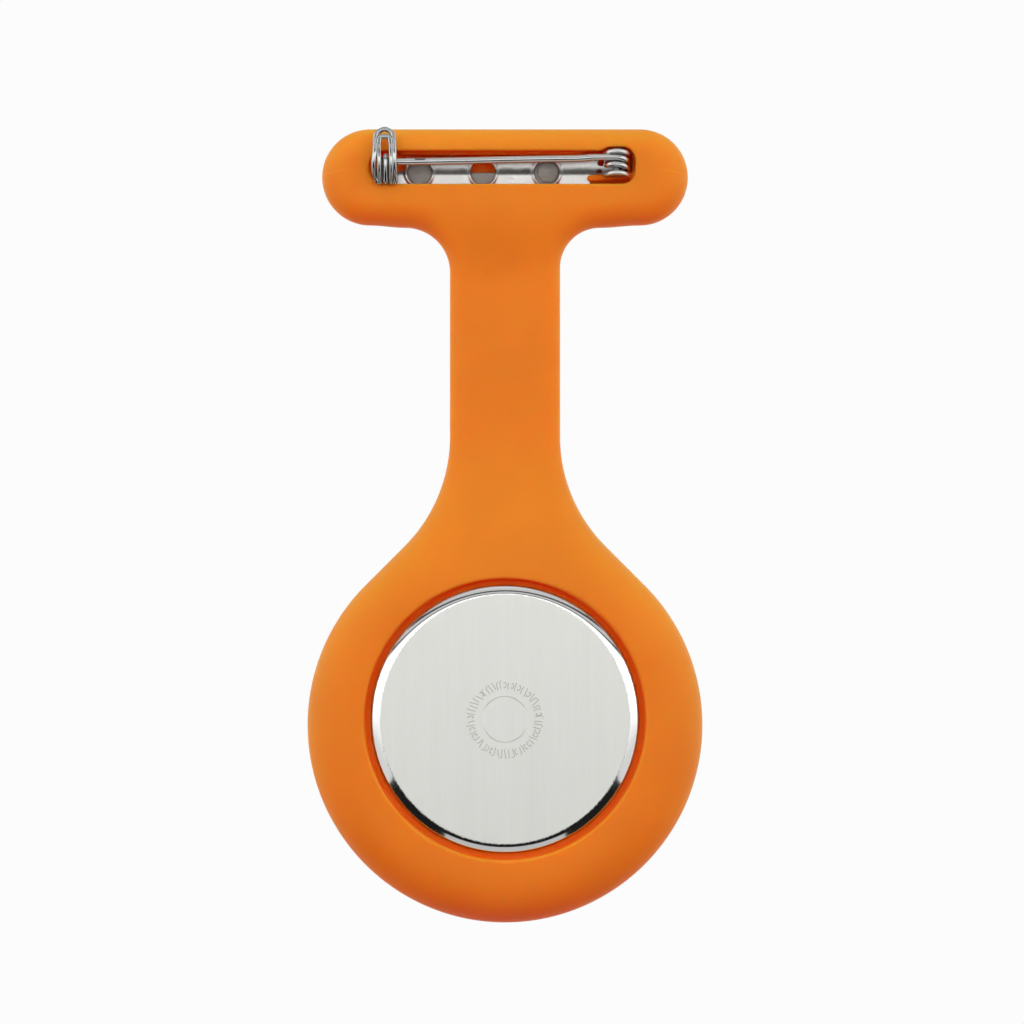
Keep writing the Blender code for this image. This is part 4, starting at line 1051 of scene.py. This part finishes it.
def glow(name, strength, color=(1, 1, 1)):
    """A glowing material. Its strength is a number, or a function that makes one in the node tree."""
    material = bpy.data.materials.new(name)
    material.use_nodes = True
    tree = material.node_tree
    tree.nodes.clear()
    emission = tree.nodes.new("ShaderNodeEmission")
    emission.inputs["Color"].default_value = (*color, 1)
    output = tree.nodes.new("ShaderNodeOutputMaterial")
    tree.links.new(emission.outputs[0], output.inputs["Surface"])
    if callable(strength):
        tree.links.new(strength(tree).socket, emission.inputs["Strength"])
    else:
        emission.inputs["Strength"].default_value = strength
    material.cycles.emission_sampling = "NONE"
    return material


def room_light(tree):
    """How bright the room is: its floor, its wall, which is graded near the front, and its ceiling."""
    place = tree.nodes.new("ShaderNodeNewGeometry")
    _, y, z = split(tree, place.outputs["Position"])
    wall = (z.rising(-0.25, 0.1, *NEAR_WALL_LIGHT) - WALL_LIGHT) * y.rising(-0.2, 0.6) + WALL_LIGHT
    above = z.rising(FLOOR_Z + 0.02, FLOOR_Z + 0.14)
    return above.rest() * FLOOR_LIGHT + above * wall * z.rising(0.5, 0.75, 1.0, CEILING_LIGHT)


def staged(name, shape, material):
    obj = meshed(name, [shape], material, 1.0)
    return obj


def make_studio():
    """A pale round room: a floor that curves up into the wall and a dome over it."""
    foot = STUDIO_RADIUS - STUDIO_CURVE
    profile = [(0, FLOOR_Z), (foot, FLOOR_Z), *arc((foot, FLOOR_Z + STUDIO_CURVE), STUDIO_CURVE, -80, 0, 8)]
    profile += [*arc((0, STUDIO_CURVE), STUDIO_RADIUS, 0, 88, 11), (0, STUDIO_CURVE + STUDIO_RADIUS)]
    staged("studio_room", revolved(profile, (0, 0, 0), "Z", 96), glow("studio_light", room_light))


def card(name, height, shape, strength, color=(1, 1, 1)):
    """A glowing card at a height above the head's middle. The camera never sees it."""
    points, faces = shape
    raised = [(x, y, HEAD_Z * MM + height + z) for x, y, z in points]
    obj = staged(name, (raised, faces), glow(name, strength, color))
    obj.visible_camera = False
    return obj


def ring(inner, outer, turn, rise=0.0):
    """Part of a ring, from -turn to turn degrees about the rear. Its outer edge is higher by the rise."""
    points = []
    for a in np.radians(np.linspace(-turn, turn, 37)):
        points += [(radius * math.sin(a), radius * math.cos(a), z) for radius, z in ((inner, 0), (outer, rise))]
    return points, [[2 * i, 2 * i + 1, 2 * i + 3, 2 * i + 2] for i in range(36)]


def rectangles(*boxes):
    points = []
    for x0, x1, y0, y1 in boxes:
        points += [(x0, y0, 0), (x1, y0, 0), (x1, y1, 0), (x0, y1, 0)]
    return points, [list(range(4 * i, 4 * i + 4)) for i in range(len(boxes))]


def make_cards():
    """Dark and light cards that only gloss sees, and a warm bounce that only matt surfaces see."""
    dark = rectangles((-0.27, 0.27, 0.237, 0.9), (-0.27, -0.08, -0.1, 0.237), (0.08, 0.27, -0.1, 0.237))
    light = rectangles((-0.08, 0.08, -0.1, 0.237))
    for name, height, shape, strength in (  # in metres
        ("dark_card", -0.16, dark, 0.012),
        ("light_card", -0.16, light, 0.6),
        ("grey_strip", 0.21, ring(0.18, 0.58, 50), 0.68),
        ("thin_strip", 0.2, ring(0.44, 0.5, 50), 0.05),
        ("dark_strip", 0.2, ring(0.26, 0.33, 50), 0.08),
    ):
        card(name, height, shape, strength).visible_diffuse = False
    for name, shape in (
        ("warm_bounce", ring(0.12, 0.7, 88)),
        ("warm_foot", ring(0.0001, 0.12, 180)),
        ("warm_skirt", ring(0.7, 0.7001, 88, 0.2)),
    ):
        card(name, -0.161, shape, 1.0, BOUNCE).visible_glossy = False


def make_camera():
    camera = bpy.data.cameras.new("camera")
    camera.lens = LENS
    camera.sensor_width = SENSOR
    camera.clip_start, camera.clip_end = 0.01, 10.0
    obj = linked("camera", camera)
    x, z = VIEW_CENTRE
    obj.location = (x, VIEW_WIDTH * LENS / SENSOR + FLEX_PIVOT.y * MM, z)
    obj.rotation_euler = (math.radians(90), 0, math.radians(180))
    bpy.context.scene.camera = obj


def make_lights():
    light = bpy.data.lights.new("front_softbox", "AREA")
    light.shape = "DISK"
    light.size = 0.6
    light.energy = 2.4
    obj = linked("front_softbox", light)
    obj.location = (0, -0.8, 0.05)
    obj.rotation_euler = (math.radians(84), 0, 0)
    obj.visible_glossy = False


finish_nodes()
make_jacket()
make_base_plate()
make_backing_strip()
make_needle()
make_rivet()
make_hook()
make_bail()
make_case()
make_dial()
make_hands()
make_studio()
make_cards()
make_camera()
make_lights()
bpy.context.scene.view_settings.view_transform = "Standard"
